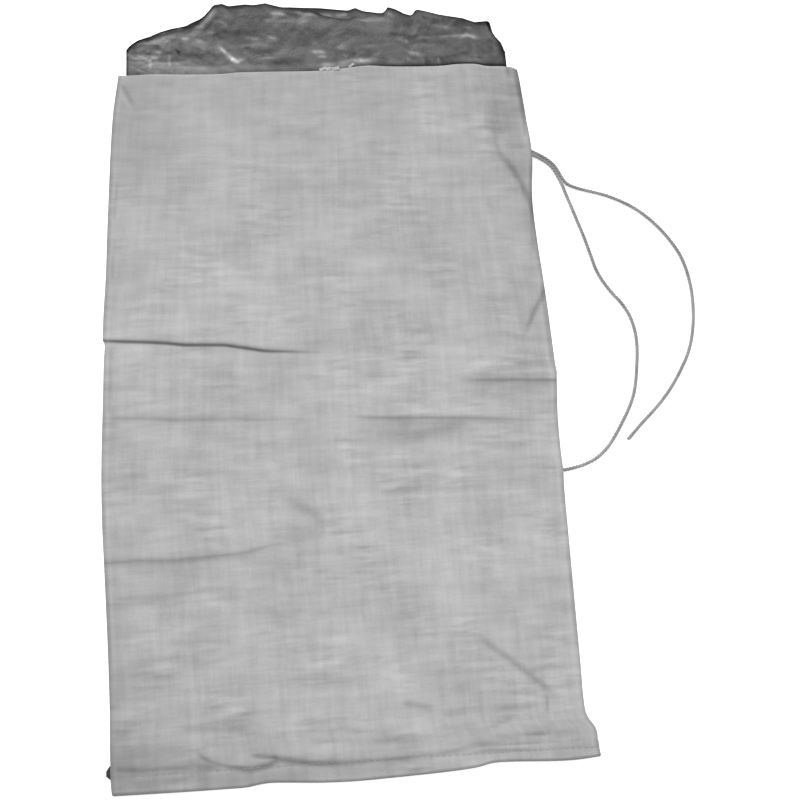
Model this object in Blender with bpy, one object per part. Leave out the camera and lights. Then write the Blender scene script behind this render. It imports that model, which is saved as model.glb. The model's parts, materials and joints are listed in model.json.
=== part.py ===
"""An empty sludge sack laid flat: woven polypropylene cloth, a film liner and a sewn-on tie cord.

Metres, +Z up. The origin is on the floor under the middle of the sack and its liner, +Y points
to the mouth and +X to the side edge that carries the tie cord.
"""

import math

import bmesh
import bpy
from mathutils import Vector

MM = 0.001

# Cloth and film: the walls are thicker than the real 0.25 mm cloth and 0.08 mm film
CLOTH_WALL = 0.8 * MM
FILM_WALL = 0.5 * MM
CLEARANCE = 0.3 * MM
FILM_DEPTH = CLOTH_WALL + CLEARANCE

# Half the thickness of the whole laid sack: in the middle, at the side folds, in the hem
MIDDLE_HALF = 4.35 * MM
SIDE_HALF = 2.1 * MM
HEM_HALF = FILM_DEPTH + FILM_WALL + 0.2 * MM
SIDE_TAPER = 70 * MM

# Outline of the laid sack, as (along Y, across X) for the edges and (across X, along Y) for the ends
LEFT_EDGE = [(425, -284), (352, -291), (185, -298), (-41, -302), (-147, -303.2),
             (-262, -299), (-383, -294), (-499, -290), (-527, -290), (-540, -287)]
RIGHT_EDGE = [(415, 299), (342, 301), (277, 301), (214, 295), (152, 295), (91, 299), (-52, 301),
              (-111, 296), (-272, 293), (-460, 290), (-490, 292), (-509, 299), (-540, 303)]
MOUTH = [(-284, 425), (-54, 427), (15, 428), (60, 434), (193, 435), (265, 432), (288, 427), (299, 415)]
BOTTOM = [(-290, -538), (-204, -540), (-105, -540), (0, -544), (112, -542), (172, -536),
          (247, -540), (303, -536)]
SEAM = [(-290, -519), (0, -522), (303, -528)]

# The turned-up hem: its flap ends past the seam, but is cut back at the left corner
FLAP_PAST_SEAM = 7 * MM
FLAP_CORNER_CUT = 10 * MM
FLAP_CORNER_WIDTH = 14 * MM
HEM_SETTLES = 18 * MM
HEM_RISE_LENGTH = 60 * MM

# The liner: its edges stand in from the sack's, and its rim stands out of the mouth
LINER_LEFT = -0.273
LINER_RIGHT = 0.281
LINER_SIDE_GAP = 8 * MM
LINER_RIM = [(-269, 469), (-254, 483), (-218, 499), (-184, 508), (-156, 530), (-138, 544),
             (-60, 538), (50, 532), (104, 534), (140, 523), (158, 528), (215, 516), (255, 510),
             (267, 486), (277, 462)]
RIM_LEFT_Y = 0.461
RIM_RIGHT_Y = 0.442
FRONT_FILM_SHORT = 10 * MM
LINER_PAST_FLAP = 7 * MM
LINER_CORNER_OUT = 9 * MM

# Seam and tacking threads
SEAM_THREAD = 1.0 * MM
TACK_THREAD = 0.8 * MM
THREAD_STEPS = 20

# Tie cord: two tails on the floor, as points seen from above
CORD = 4.0 * MM
CORD_GAP = 0.3 * MM
TACK_PLACE = (292, 295)
DOUBLED = [(283, 300), (292, 295), (301, 290), (315, 282.4), (326, 274.5), (334, 265.5), (340, 252)]
LONG_TAIL = [(343, 237), (347, 221.9), (352.5, 202.8), (358, 182.4), (364.5, 158.9), (371, 131),
             (376.5, 106.5), (384, 88.2), (395, 69.7), (407.5, 52.8), (416.5, 34), (421, 12.2),
             (421, -11), (417, -38.5), (411, -66.9), (404.5, -85.1), (396, -101.6), (385, -119.3),
             (373, -137), (360, -152.5), (344.5, -165), (327, -172.8), (310, -177), (294, -179.3),
             (275, -179.3), (258, -179), (241, -179)]
SHORT_TAIL = [(350, 239), (366, 231), (386, 225), (406, 218.5), (425.5, 209.5), (445, 197.5),
              (462.5, 182.4), (478, 164.8), (491, 145.7), (502, 123.7), (508.5, 98.8), (511, 71.4),
              (510, 45.9), (506.5, 20.6), (500, -4.5), (491, -26.2), (481, -43.2), (470, -60),
              (457, -77), (443, -92.5), (428.5, -106.5), (415, -118.5), (403, -130), (391, -141.8)]
CORD_STEP = 11 * MM


def smooth_step(value):
    """0 below 0, 1 above 1, and an S-curve between."""
    value = min(max(value, 0.0), 1.0)
    return value * value * (3 - 2 * value)


def read_outline(points, at):
    """The outline's value in metres at a place in metres, on a smooth curve through its points."""
    knots = sorted((a * MM, b * MM) for a, b in points)
    at = min(max(at, knots[0][0]), knots[-1][0])
    last = len(knots) - 1
    i = max(k for k in range(last) if knots[k][0] <= at)
    (x0, y0), (x1, y1) = knots[i], knots[i + 1]
    before = knots[max(i - 1, 0)]
    after = knots[min(i + 2, last)]
    slope0 = (y1 - before[1]) / (x1 - before[0])
    slope1 = (after[1] - y0) / (after[0] - x0)
    width = x1 - x0
    t = (at - x0) / width
    return ((2 * t**3 - 3 * t**2 + 1) * y0 + (t**3 - 2 * t**2 + t) * width * slope0
            + (3 * t**2 - 2 * t**3) * y1 + (t**3 - t**2) * width * slope1)


def left_edge(y):
    return read_outline(LEFT_EDGE, y)


def right_edge(y):
    return read_outline(RIGHT_EDGE, y)


def flap_end(x):
    """Where the turned-up flap of the cloth is cut off, on the back of the sack."""
    corner = 1 - smooth_step((x - left_edge(-0.52)) / FLAP_CORNER_WIDTH)
    return read_outline(SEAM, x) + FLAP_PAST_SEAM - FLAP_CORNER_CUT * corner


def liner_end(x):
    """Where the film ends, a little past the flap."""
    corner = 1 - smooth_step((x - left_edge(-0.52)) / FLAP_CORNER_WIDTH)
    return read_outline(SEAM, x) + FLAP_PAST_SEAM + LINER_PAST_FLAP - FLAP_CORNER_CUT * corner


def dome(x, y, centre, flat, ramp):
    """1 within flat of a centre in Y, from its X outwards to the right edge, and 0 past the ramp."""
    inward = smooth_step((x - (centre[0] - ramp)) / ramp)
    along = 1 - smooth_step((abs(y - centre[1]) - flat) / ramp)
    return inward * along


# Heights of the hem's stack, from the floor up: looper thread, flap, gap, end of the body
HEM_FLAP_MIDDLE = SEAM_THREAD + CLEARANCE + HEM_HALF
HEM_BODY_MIDDLE = HEM_FLAP_MIDDLE + 2 * HEM_HALF + CLEARANCE
TURN_MIDDLE = (HEM_FLAP_MIDDLE + HEM_BODY_MIDDLE) / 2
TURN_RADIUS = (HEM_BODY_MIDDLE - HEM_FLAP_MIDDLE) / 2
TACK_LIFT = TACK_THREAD + CORD + 3 * CORD_GAP
TAIL_LIFT = CORD + 2 * CORD_GAP


def above_hem(x, y):
    """0 over the hem's flap and 1 where the sack lies on the floor."""
    return smooth_step((y - read_outline(SEAM, x) - HEM_SETTLES) / HEM_RISE_LENGTH)


def underside(x, y):
    """Height of the back panel over the floor: nothing but the hem and the cord lift it."""
    hem = (HEM_BODY_MIDDLE - HEM_HALF) * (1 - above_hem(x, y))
    tack = TACK_LIFT * dome(x, y, (0.275, 0.292), 16 * MM, 37 * MM)
    tail = TAIL_LIFT * dome(x, y, (0.214, -0.179), 6 * MM, 34 * MM)
    return max(hem, tack, tail)


def half_thickness(x, y):
    """Half the laid thickness: it tapers to the side folds and down to the hem."""
    inward = min(x - left_edge(y), right_edge(y) - x)
    body = SIDE_HALF + (MIDDLE_HALF - SIDE_HALF) * smooth_step(inward / SIDE_TAPER)
    return HEM_HALF + (body - HEM_HALF) * above_hem(x, y)


def body_station(y_at):
    """A loop round the laid body; y_at gives its place from X and how far to the front it is."""
    def half(x):
        return half_thickness(x, y_at(x, 0))

    def place(x, front, offset, beside):
        y = y_at(x, front)
        z = underside(x, y_at(x, 0)) + half(x) + offset
        return Vector((x + beside, y, z))

    return half, place


def turn_station(angle):
    """A loop at an angle round the bottom fold, 0 at the body's end and pi at the flap's start."""
    def place(x, front, offset, beside):
        outer = TURN_RADIUS + HEM_HALF
        reach = TURN_RADIUS + offset
        y = read_outline(BOTTOM, x) + outer - math.sin(angle) * reach
        return Vector((x + beside, y, TURN_MIDDLE + math.cos(angle) * reach))

    return (lambda x: HEM_HALF), place


def flap_station(share, end_at, outward=0.0):
    """A loop on the flap, at a share of its way from the fold to its cut end."""
    def place(x, front, offset, beside):
        start = read_outline(BOTTOM, x) + TURN_RADIUS + HEM_HALF
        corner = 1 - smooth_step((x - left_edge(-0.52)) / (4 * FLAP_CORNER_WIDTH))
        y = start + share * (end_at(x) - start)
        return Vector((x + beside - outward * corner, y, HEM_FLAP_MIDDLE - offset))

    return (lambda x: HEM_HALF), place


def tube_loop(station, edges, outer_depth, depth):
    """One closed loop of points round a flattened tube, at a depth under the sack's surface."""
    half, place = station
    left, right = edges
    fold_angles = [math.radians(a) for a in (-90, -45, 0, 45, 90)]
    points = []
    for side, edge in ((-1, left), (1, right)):
        radius = half(edge) - outer_depth
        centre = edge - side * radius
        reach = half(edge) - depth
        fold = [place(centre, math.sin(a), reach * math.sin(a), side * reach * math.cos(a))
                for a in fold_angles]
        panel = [x * MM for x in ACROSS]
        if side < 0:
            points += fold
            points += [place(x, 1, half(x) - depth, 0) for x in panel]
        else:
            points += fold[::-1]
            points += [place(x, -1, depth - half(x), 0) for x in reversed(panel)]
    return points


def add_mesh(name, points, faces, material):
    mesh = bpy.data.meshes.new(name)
    mesh.from_pydata(points, [], faces)
    shape = bmesh.new()
    shape.from_mesh(mesh)
    bmesh.ops.recalc_face_normals(shape, faces=shape.faces)
    shape.to_mesh(mesh)
    shape.free()
    mesh.materials.append(material)
    mesh.shade_smooth()
    mesh.set_sharp_from_angle(angle=math.radians(50))
    obj = bpy.data.objects.new(name, mesh)
    bpy.context.scene.collection.objects.link(obj)
    return obj


def add_tube_wall(name, stations, edge_list, outer_depth, wall, material):
    """A flattened tube of sheet, open at both ends: outer and inner loops joined at the rims.

    The triangles' diagonals run the same way on every layer, so the layers stay evenly spaced.
    """
    placed = list(zip(stations, edge_list))
    outer = [tube_loop(station, edges, outer_depth, outer_depth) for station, edges in placed]
    inner = [tube_loop(station, edges, outer_depth, outer_depth + wall) for station, edges in placed]
    loops = outer + inner[::-1]
    count = len(loops[0])
    points = [point for loop in loops for point in loop]
    faces = []
    for row in range(len(loops)):
        below = (row + 1) % len(loops)
        for i in range(count):
            j = (i + 1) % count
            a, b, c, d = row * count + i, row * count + j, below * count + j, below * count + i
            if row < len(outer):
                faces += [(a, b, c), (a, c, d)]
            else:
                faces += [(a, b, d), (b, c, d)]
    return add_mesh(name, points, faces, material)


# Y places of the loops round the body, closer together where a cord lifts the sack
BODY_ROWS = [390, 345, 308, 276, 238, 150, 50, -50, -139, -173, -185, -219, -320, -437, -465, -502]
TURN_ANGLES = [0, 45, 90, 135, 180]
FOLD_Y = -0.5385

# X places of the points on both panels, shared by the cloth and the film inside it
ACROSS = [x for x, _ in LINER_RIM]


def body_rows():
    return [body_station(lambda x, front, y=row * MM: y) for row in BODY_ROWS]


def turn_rows():
    return [turn_station(math.radians(angle)) for angle in TURN_ANGLES]


def row_edges(inset=0.0):
    """The sack's side edges at each body row and round the fold, moved in by an inset."""
    rows = [row * MM for row in BODY_ROWS] + [FOLD_Y] * len(TURN_ANGLES)
    return [(left_edge(y) + inset, right_edge(y) - inset) for y in rows]


def build_sack(material):
    mouth = body_station(lambda x, front: read_outline(MOUTH, x))
    stations = [mouth] + body_rows() + turn_rows() + [flap_station(0.5, flap_end),
                                                      flap_station(1.0, flap_end)]
    edges = [(left_edge(0.425), right_edge(0.415))] + row_edges()
    edges += [(left_edge(-0.53), right_edge(-0.53)), (left_edge(-0.52), right_edge(-0.52))]
    add_tube_wall("woven_sack", stations, edges, 0.0, CLOTH_WALL, material)


def build_liner(material):
    rim_points = [(LINER_LEFT / MM, RIM_LEFT_Y / MM)] + LINER_RIM + [(LINER_RIGHT / MM, RIM_RIGHT_Y / MM)]

    def rim_y(x, front):
        return read_outline(rim_points, x) - FRONT_FILM_SHORT * (1 + front) / 2

    stations = [body_station(rim_y), body_station(lambda x, front: 0.428)]
    stations += body_rows() + turn_rows()
    stations += [flap_station(0.35, liner_end), flap_station(0.7, liner_end),
                 flap_station(0.82, liner_end), flap_station(1.0, liner_end, LINER_CORNER_OUT)]
    edges = [(LINER_LEFT, LINER_RIGHT)] * 2 + row_edges(LINER_SIDE_GAP)
    edges += [edges[-1]] * 4
    add_tube_wall("liner", stations, edges, FILM_DEPTH, FILM_WALL, material)


def add_tube(name, points, thickness, roundness, material):
    """A round cord or thread along a line of points, as a curve with filled caps."""
    curve = bpy.data.curves.new(name, "CURVE")
    curve.dimensions = "3D"
    curve.bevel_depth = thickness / 2
    curve.bevel_resolution = roundness
    curve.use_fill_caps = True
    curve.resolution_u = 1
    curve.render_resolution_u = 0
    spline = curve.splines.new("POLY")
    spline.points.add(len(points) - 1)
    for target, point in zip(spline.points, points):
        target.co = (*point, 1.0)
    curve.materials.append(material)
    obj = bpy.data.objects.new(name, curve)
    bpy.context.scene.collection.objects.link(obj)
    return obj


def build_seam_threads(material):
    """Needle thread on the front and looper thread under the flap, both along the seam."""
    start = left_edge(-0.52) + 9 * MM
    stop = right_edge(-0.525) - 5 * MM
    across = [start + (stop - start) * i / THREAD_STEPS for i in range(THREAD_STEPS + 1)]
    top = HEM_BODY_MIDDLE + HEM_HALF + CLEARANCE + SEAM_THREAD / 2
    front = [Vector((x, read_outline(SEAM, x), top)) for x in across]
    back = [Vector((x, read_outline(SEAM, x), SEAM_THREAD / 2)) for x in across]
    add_tube("bottom_needle_thread", front, SEAM_THREAD, 1, material)
    add_tube("bottom_looper_thread", back, SEAM_THREAD, 1, material)


def smooth_line(route):
    """Evenly spaced points on a Catmull-Rom curve through a route given in millimetres."""
    knots = [Vector((x * MM, y * MM)) for x, y in route]
    padded = [2 * knots[0] - knots[1]] + knots + [2 * knots[-1] - knots[-2]]
    fine = []
    for p0, p1, p2, p3 in zip(padded, padded[1:], padded[2:], padded[3:]):
        for k in range(16):
            t = k / 16
            fine.append(0.5 * (2 * p1 + (p2 - p0) * t + (2 * p0 - 5 * p1 + 4 * p2 - p3) * t**2
                               + (3 * p1 - p0 - 3 * p2 + p3) * t**3))
    fine.append(knots[-1])
    lengths = [0.0]
    for a, b in zip(fine, fine[1:]):
        lengths.append(lengths[-1] + (b - a).length)
    count = round(lengths[-1] / CORD_STEP)
    line = []
    i = 0
    for k in range(count + 1):
        target = lengths[-1] * k / count
        while i < len(fine) - 2 and lengths[i + 1] < target:
            i += 1
        share = (target - lengths[i]) / (lengths[i + 1] - lengths[i])
        line.append(fine[i].lerp(fine[i + 1], share))
    return line


def cord_height(x):
    """The cord's middle: over the tacking thread under the sack, then down on the floor."""
    over_thread = TACK_THREAD + CORD_GAP
    return CORD / 2 + over_thread * (1 - smooth_step((x - 0.300) / (30 * MM)))


def doubled_route(side):
    """The stretch where both tails lie side by side: the shared route moved over by half a pitch."""
    half_pitch = (CORD + 2 * CORD_GAP) / 2 / MM
    route = []
    for i, (x, y) in enumerate(DOUBLED):
        ahead = Vector(DOUBLED[min(i + 1, len(DOUBLED) - 1)])
        behind = Vector(DOUBLED[max(i - 1, 0)])
        along = (ahead - behind).normalized()
        route.append((x - side * along.y * half_pitch, y + side * along.x * half_pitch))
    return route


def build_cords(material):
    tails = (("tie_cord_long_tail", -1, LONG_TAIL), ("tie_cord_short_tail", 1, SHORT_TAIL))
    for name, side, tail in tails:
        flat_line = smooth_line(doubled_route(side) + tail)
        line = [Vector((p.x, p.y, cord_height(p.x) if i < 8 else CORD / 2))
                for i, p in enumerate(flat_line)]
        add_tube(name, line, CORD, 2, material)


def build_tack(material):
    """Tacking stitches: loops under both cords whose ends go up to the back panel."""
    loops = 5
    pitch = 2.4 * MM
    corner = 0.9 * MM
    reach = CORD + 2 * CORD_GAP + TACK_THREAD / 2
    low = TACK_THREAD / 2
    high = TACK_LIFT - TACK_THREAD / 2 - CORD_GAP
    start = Vector(DOUBLED[0]) * MM
    along = (Vector(DOUBLED[2]) * MM - start).normalized()
    middle = Vector(TACK_PLACE) * MM
    sideways = Vector((-along.y, along.x))
    points = []
    for loop in range(loops):
        shift = middle + along * pitch * (loop - (loops - 1) / 2)
        side = 1 if loop % 2 == 0 else -1
        profile = [(reach, high - corner), (reach, low + corner), (reach - corner, low),
                   (corner - reach, low), (-reach, low + corner), (-reach, high - corner)]
        for across, z in profile:
            flat = shift + sideways * across * side
            points.append(Vector((flat.x, flat.y, z)))
        if loop < loops - 1:
            step = shift + along * pitch * 0.5 - sideways * reach * side
            points.append(Vector((step.x, step.y, high)))
    add_tube("tie_tack_thread", points, TACK_THREAD, 1, material)


def make_material(name, grey, roughness):
    material = bpy.data.materials.new(name)
    material.use_nodes = True
    shader = material.node_tree.nodes["Principled BSDF"]
    shader.inputs["Base Color"].default_value = (grey, grey, grey, 1.0)
    shader.inputs["Roughness"].default_value = roughness
    shader.inputs["Metallic"].default_value = 0.0
    return material


def main():
    for obj in list(bpy.data.objects):
        bpy.data.objects.remove(obj)
    build_sack(make_material("woven_cloth", 0.47, 0.6))
    build_liner(make_material("liner_film", 0.08, 0.3))
    thread = make_material("sewing_thread", 0.6, 0.8)
    build_seam_threads(thread)
    build_tack(thread)
    build_cords(make_material("tie_cord", 0.5, 0.8))


main()
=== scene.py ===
# %% [markdown]
# # An empty sludge sack, laid flat
# The real thing is a tube of woven polypropylene tapes, 60 cm wide and 1 m long, with a bag of thin
# dark film inside it. Its bottom is turned up to the back and sewn with a chain stitch, the film
# stands out of the open mouth, and a cord to tie the mouth with is tacked to one side edge.
#
# A sack lies in soft folds, so it can't be put together from boxes. Each sheet here is a grid of
# points on a flattened tube whose heights come from a few named creases. Rope, stitches and loose
# tapes repeat along a line, so Geometry Nodes make them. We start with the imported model, whose
# nodes give every piece its place.

# %% Load the frame
import json
import math

import bpy
import numpy as np
from mathutils import Matrix, Vector

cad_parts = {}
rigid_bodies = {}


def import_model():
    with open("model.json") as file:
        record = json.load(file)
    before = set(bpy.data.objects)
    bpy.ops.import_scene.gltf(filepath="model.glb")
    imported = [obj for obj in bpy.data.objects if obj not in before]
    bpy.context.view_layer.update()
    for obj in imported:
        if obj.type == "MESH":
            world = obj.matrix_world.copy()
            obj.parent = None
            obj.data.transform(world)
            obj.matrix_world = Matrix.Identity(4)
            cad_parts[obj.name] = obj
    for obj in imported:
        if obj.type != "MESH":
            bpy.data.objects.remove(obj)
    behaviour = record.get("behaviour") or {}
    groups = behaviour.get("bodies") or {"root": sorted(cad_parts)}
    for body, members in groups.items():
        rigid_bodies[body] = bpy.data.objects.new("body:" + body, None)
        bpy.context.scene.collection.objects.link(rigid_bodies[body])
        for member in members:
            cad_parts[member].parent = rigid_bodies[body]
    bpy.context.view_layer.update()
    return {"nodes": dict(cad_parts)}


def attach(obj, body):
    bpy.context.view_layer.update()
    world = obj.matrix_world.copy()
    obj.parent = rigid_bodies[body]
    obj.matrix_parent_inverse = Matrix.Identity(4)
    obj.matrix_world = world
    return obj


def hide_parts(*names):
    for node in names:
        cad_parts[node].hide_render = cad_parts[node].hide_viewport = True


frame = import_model()
MM = 0.001
print("nodes:", sorted(frame["nodes"]))

# %% [markdown]
# The camera looks down on the laid sack from beyond its sewn bottom, so the sack narrows towards
# the mouth in the picture. Its place, the point it aims at and a small roll say this more plainly
# than a matrix would. A lens of 44 mm gives the amount of perspective.

# %% Camera
CAMERA_PLACE = Vector((-0.0439, -0.4089, 1.2719))
CAMERA_AIM = Vector((0.0865, -0.0719, 0.0))
CAMERA_ROLL = math.radians(4.1)
LENS_MM = 44.41
SENSOR_MM = 36


def in_scene(name, data):
    """An object with the given data, linked into the scene."""
    item = bpy.data.objects.new(name, data)
    bpy.context.scene.collection.objects.link(item)
    return item


def add_camera():
    data = bpy.data.cameras.new("picture_camera")
    data.lens = LENS_MM
    data.sensor_width = SENSOR_MM
    ahead = (CAMERA_AIM - CAMERA_PLACE).normalized()
    right = ahead.cross(Vector((0, 1, 0))).normalized()
    up = right.cross(ahead)
    turn = Matrix.Rotation(CAMERA_ROLL, 3, ahead)
    axes = Matrix((turn @ right, turn @ up, -ahead)).transposed()
    camera = in_scene("picture_camera", data)
    camera.matrix_world = Matrix.Translation(CAMERA_PLACE) @ axes.to_4x4()
    bpy.context.scene.camera = camera


add_camera()
print("camera", round((CAMERA_AIM - CAMERA_PLACE).length, 3), "m from the sack")

# %% [markdown]
# Every node tree below is made with a few small helpers. The main one adds a node with its settings
# and inputs. An input is a plain value, a node, whose first output is meant, or one of its outputs.
# The others make what comes up again and again: arithmetic, a weighted sum, noise, a vector from
# its parts and a scaled vector.

# %% Node helpers


def set_inputs(tree, node, inputs):
    """Set inputs to plain values, or link them to a node's first output or to a given output."""
    for key, value in inputs.items():
        if isinstance(value, bpy.types.Node):
            value = value.outputs[0]
        if isinstance(value, bpy.types.NodeSocket):
            tree.links.new(value, node.inputs[key])
        else:
            node.inputs[key].default_value = value


def add_node(tree, kind, inputs=None, **settings):
    """A new node with its settings and inputs."""
    node = tree.nodes.new(kind)
    for name, value in settings.items():
        setattr(node, name, value)
    set_inputs(tree, node, inputs or {})
    return node


def compute(tree, operation, a, b=0.0, c=0.0):
    """A Math node."""
    return add_node(tree, "ShaderNodeMath", {0: a, 1: b, 2: c}, operation=operation)


def times(tree, a, b):
    return compute(tree, "MULTIPLY", a, b)


def times_plus(tree, a, b, c):
    return compute(tree, "MULTIPLY_ADD", a, b, c)


def weighted(tree, a, weight_a, b, weight_b):
    """The sum of two values, each times its weight."""
    return times_plus(tree, a, weight_a, times(tree, b, weight_b))


def noise(tree, scale, detail, **inputs):
    """Smooth noise from 0 to 1. Further inputs, such as Vector, go by their names."""
    return add_node(tree, "ShaderNodeTexNoise", dict(inputs, Scale=scale, Detail=detail))


def xyz(tree, **parts):
    """A vector from its parts X, Y and Z, with 0 for those left out."""
    return add_node(tree, "ShaderNodeCombineXYZ", parts)


def scaled(tree, vector, factor):
    """A vector or a colour times a number."""
    return add_node(tree, "ShaderNodeVectorMath", {0: vector, "Scale": factor}, operation="SCALE")


print("node helpers ready, for Blender", bpy.app.version_string)

# %% [markdown]
# What repeats is made by Geometry Nodes trees with named sizes. A tree starts from loose points or
# a line, and ends by realizing its copies and giving them a material, so that an export keeps both.
# Its result is kept as a plain mesh.

# %% Tree helpers


def start_tree(name, sizes):
    """A Geometry Nodes tree with a geometry input, named sizes and a material."""
    tree = bpy.data.node_groups.new(name, "GeometryNodeTree")
    tree.interface.new_socket("Geometry", in_out="INPUT", socket_type="NodeSocketGeometry")
    tree.interface.new_socket("Geometry", in_out="OUTPUT", socket_type="NodeSocketGeometry")
    for label, value in sizes.items():
        kind = "NodeSocketInt" if isinstance(value, int) else "NodeSocketFloat"
        tree.interface.new_socket(label, in_out="INPUT", socket_type=kind).default_value = value
    tree.interface.new_socket("Material", in_out="INPUT", socket_type="NodeSocketMaterial")
    return tree, tree.nodes.new("NodeGroupInput").outputs


def end_tree(tree, shape, material):
    """Realize what the tree made, give it its material and hand it on."""
    real = add_node(tree, "GeometryNodeRealizeInstances", {"Geometry": shape})
    dressed = add_node(tree, "GeometryNodeSetMaterial", {"Geometry": real, "Material": material})
    add_node(tree, "NodeGroupOutput", {0: dressed})


def grow(name, tree, points, edges, material, sizes, along=None):
    """Run a tree on loose points or a line, and keep the result as a plain mesh object."""
    seed_mesh = bpy.data.meshes.new(name + "_line")
    seed_mesh.from_pydata([tuple(p) for p in points], edges, [])
    if along is not None:
        layer = seed_mesh.attributes.new("along", "FLOAT_VECTOR", "POINT")
        layer.data.foreach_set("vector", np.asarray(along, float).ravel())
    holder = in_scene(name + "_line", seed_mesh)
    modifier = holder.modifiers.new("nodes", "NODES")
    modifier.node_group = tree
    values = dict(sizes, Material=material)
    for item in tree.interface.items_tree:
        if item.in_out == "INPUT" and item.name in values:
            modifier[item.identifier] = values[item.name]
    depsgraph = bpy.context.evaluated_depsgraph_get()
    mesh = bpy.data.meshes.new_from_object(holder.evaluated_get(depsgraph))
    mesh.name = name
    piece = in_scene(name, mesh)
    bpy.data.objects.remove(holder)
    bpy.data.meshes.remove(seed_mesh)
    print(name, len(mesh.polygons), "faces")
    return piece


print("node trees so far:", len(bpy.data.node_groups))

# %% [markdown]
# ## The tie cord
# The real cord is a 4 mm laid rope of three strands. Its middle is tacked under the side edge and
# both ends lie free on the floor: one swings back under the sack, the other ends bare beside it.
# The points below are the route of the solid cord in millimetres. A Catmull-Rom curve joins them,
# because it goes through every point and needs no handles.

# %% Cord routes
CORD = 4.0
CORD_GAP = 0.3
TACK_THREAD = 0.8
DOUBLED = [(283, 300), (292, 295), (301, 290), (315, 282.4), (326, 274.5), (334, 265.5), (340, 252)]
LONG_TAIL = [(343, 237), (347, 221.9), (352.5, 202.8), (358, 182.4), (364.5, 158.9), (371, 131),
             (376.5, 106.5), (384, 88.2), (395, 69.7), (407.5, 52.8), (416.5, 34), (421, 12.2),
             (421, -11), (417, -38.5), (411, -66.9), (404.5, -85.1), (396, -101.6), (385, -119.3),
             (373, -137), (360, -152.5), (344.5, -165), (327, -172.8), (310, -177), (294, -179.3),
             (275, -179.3), (258, -179), (241, -179)]
SHORT_TAIL = [(350, 239), (366, 231), (386, 225), (406, 218.5), (425.5, 209.5), (445, 197.5),
              (462.5, 182.4), (478, 164.8), (491, 145.7), (502, 123.7), (508.5, 98.8), (511, 71.4),
              (510, 45.9), (506.5, 20.6), (500, -4.5), (491, -26.2), (481, -43.2), (470, -60),
              (457, -77), (443, -92.5), (428.5, -106.5), (415, -118.5), (403, -130), (391, -141.8)]
CURVE_PARTS = 16
ROUTE_STEP = 3.0


def smooth_line(route, step):
    """Evenly spaced points on a Catmull-Rom curve through a route, and how far along each lies."""
    knots = np.array(route, float)
    padded = np.vstack([2 * knots[0] - knots[1], knots, 2 * knots[-1] - knots[-2]])
    t = np.linspace(0, 1, CURVE_PARTS, endpoint=False)[:, None]
    fine = []
    for p0, p1, p2, p3 in zip(padded, padded[1:], padded[2:], padded[3:]):
        bend = 2 * p0 - 5 * p1 + 4 * p2 - p3
        fine.append(0.5 * (2 * p1 + (p2 - p0) * t + bend * t**2 + (3 * p1 - p0 - 3 * p2 + p3) * t**3))
    fine = np.vstack(fine + [knots[-1:]])
    run = np.concatenate([[0], np.cumsum(np.linalg.norm(np.diff(fine, axis=0), axis=1))])
    places = np.linspace(0, run[-1], round(run[-1] / step) + 1)
    return np.column_stack([np.interp(places, run, fine[:, 0]), np.interp(places, run, fine[:, 1])]), places


print("mm of free tail:", [round(smooth_line(tail, ROUTE_STEP)[1][-1]) for tail in (LONG_TAIL, SHORT_TAIL)])

# %% [markdown]
# Under the edge both tails lie side by side, so each keeps half a pitch to its own side of the
# doubled part. There they also lie on the tacking thread, and come down to the floor past it.

# %% Middle lines of the tails
# How far along a tail it lies on the thread, and where it comes down to the floor
OVER_THREAD_LENGTH = 88.0
THREAD_END_X = 300
THREAD_RAMP = 30


def smooth_step(value):
    """0 below 0, 1 above 1, and an S-curve between."""
    value = np.clip(value, 0.0, 1.0)
    return value * value * (3 - 2 * value)


def cord_route(side, tail):
    """A tail's middle line in metres, lifted over the tacking thread at its start."""
    half_pitch = (CORD + 2 * CORD_GAP) / 2
    start = []
    for i, (x, y) in enumerate(DOUBLED):
        ahead = Vector(DOUBLED[min(i + 1, len(DOUBLED) - 1)])
        behind = Vector(DOUBLED[max(i - 1, 0)])
        along = (ahead - behind).normalized()
        start.append((x - side * along.y * half_pitch, y + side * along.x * half_pitch))
    flat, places = smooth_line(start + tail, ROUTE_STEP)
    over = (TACK_THREAD + CORD_GAP) * (1 - smooth_step((flat[:, 0] - THREAD_END_X) / THREAD_RAMP))
    height = CORD / 2 + np.where(places < OVER_THREAD_LENGTH, over, 0.0)
    print("cord", round(places[-1]), "mm long")
    return np.column_stack([flat, height]) * MM, places[-1] * MM


long_route, long_length = cord_route(-1, LONG_TAIL)
short_route, short_length = cord_route(1, SHORT_TAIL)

# %% [markdown]
# A laid rope is three round strands wound round one another. A displacement on a plain tube would
# smear the grooves, so the tree copies the line three times, swings each copy round the middle by
# its length along the cord, and sweeps a small circle along it.

# %% Wind the strands
ROPE_SIZES = {"Strands": 3, "Lay length": 0.0145, "Strand offset": 0.00136, "Strand radius": 0.00124,
              "Lift": 0.0006, "Step": 0.0014, "Unevenness": 0.14, "Hair density": 12.0,
              "Hair length": 0.0013, "Hair floor": 0.0024, "Seed": 3}
STRAND_SIDES = 7


def sweep(tree, curve, sides, radius):
    """A round closed tube along a curve."""
    circle = add_node(tree, "GeometryNodeCurvePrimitiveCircle", {"Resolution": sides, "Radius": radius})
    return add_node(tree, "GeometryNodeCurveToMesh",
                    {"Curve": curve, "Profile Curve": circle, "Fill Caps": True})


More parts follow.
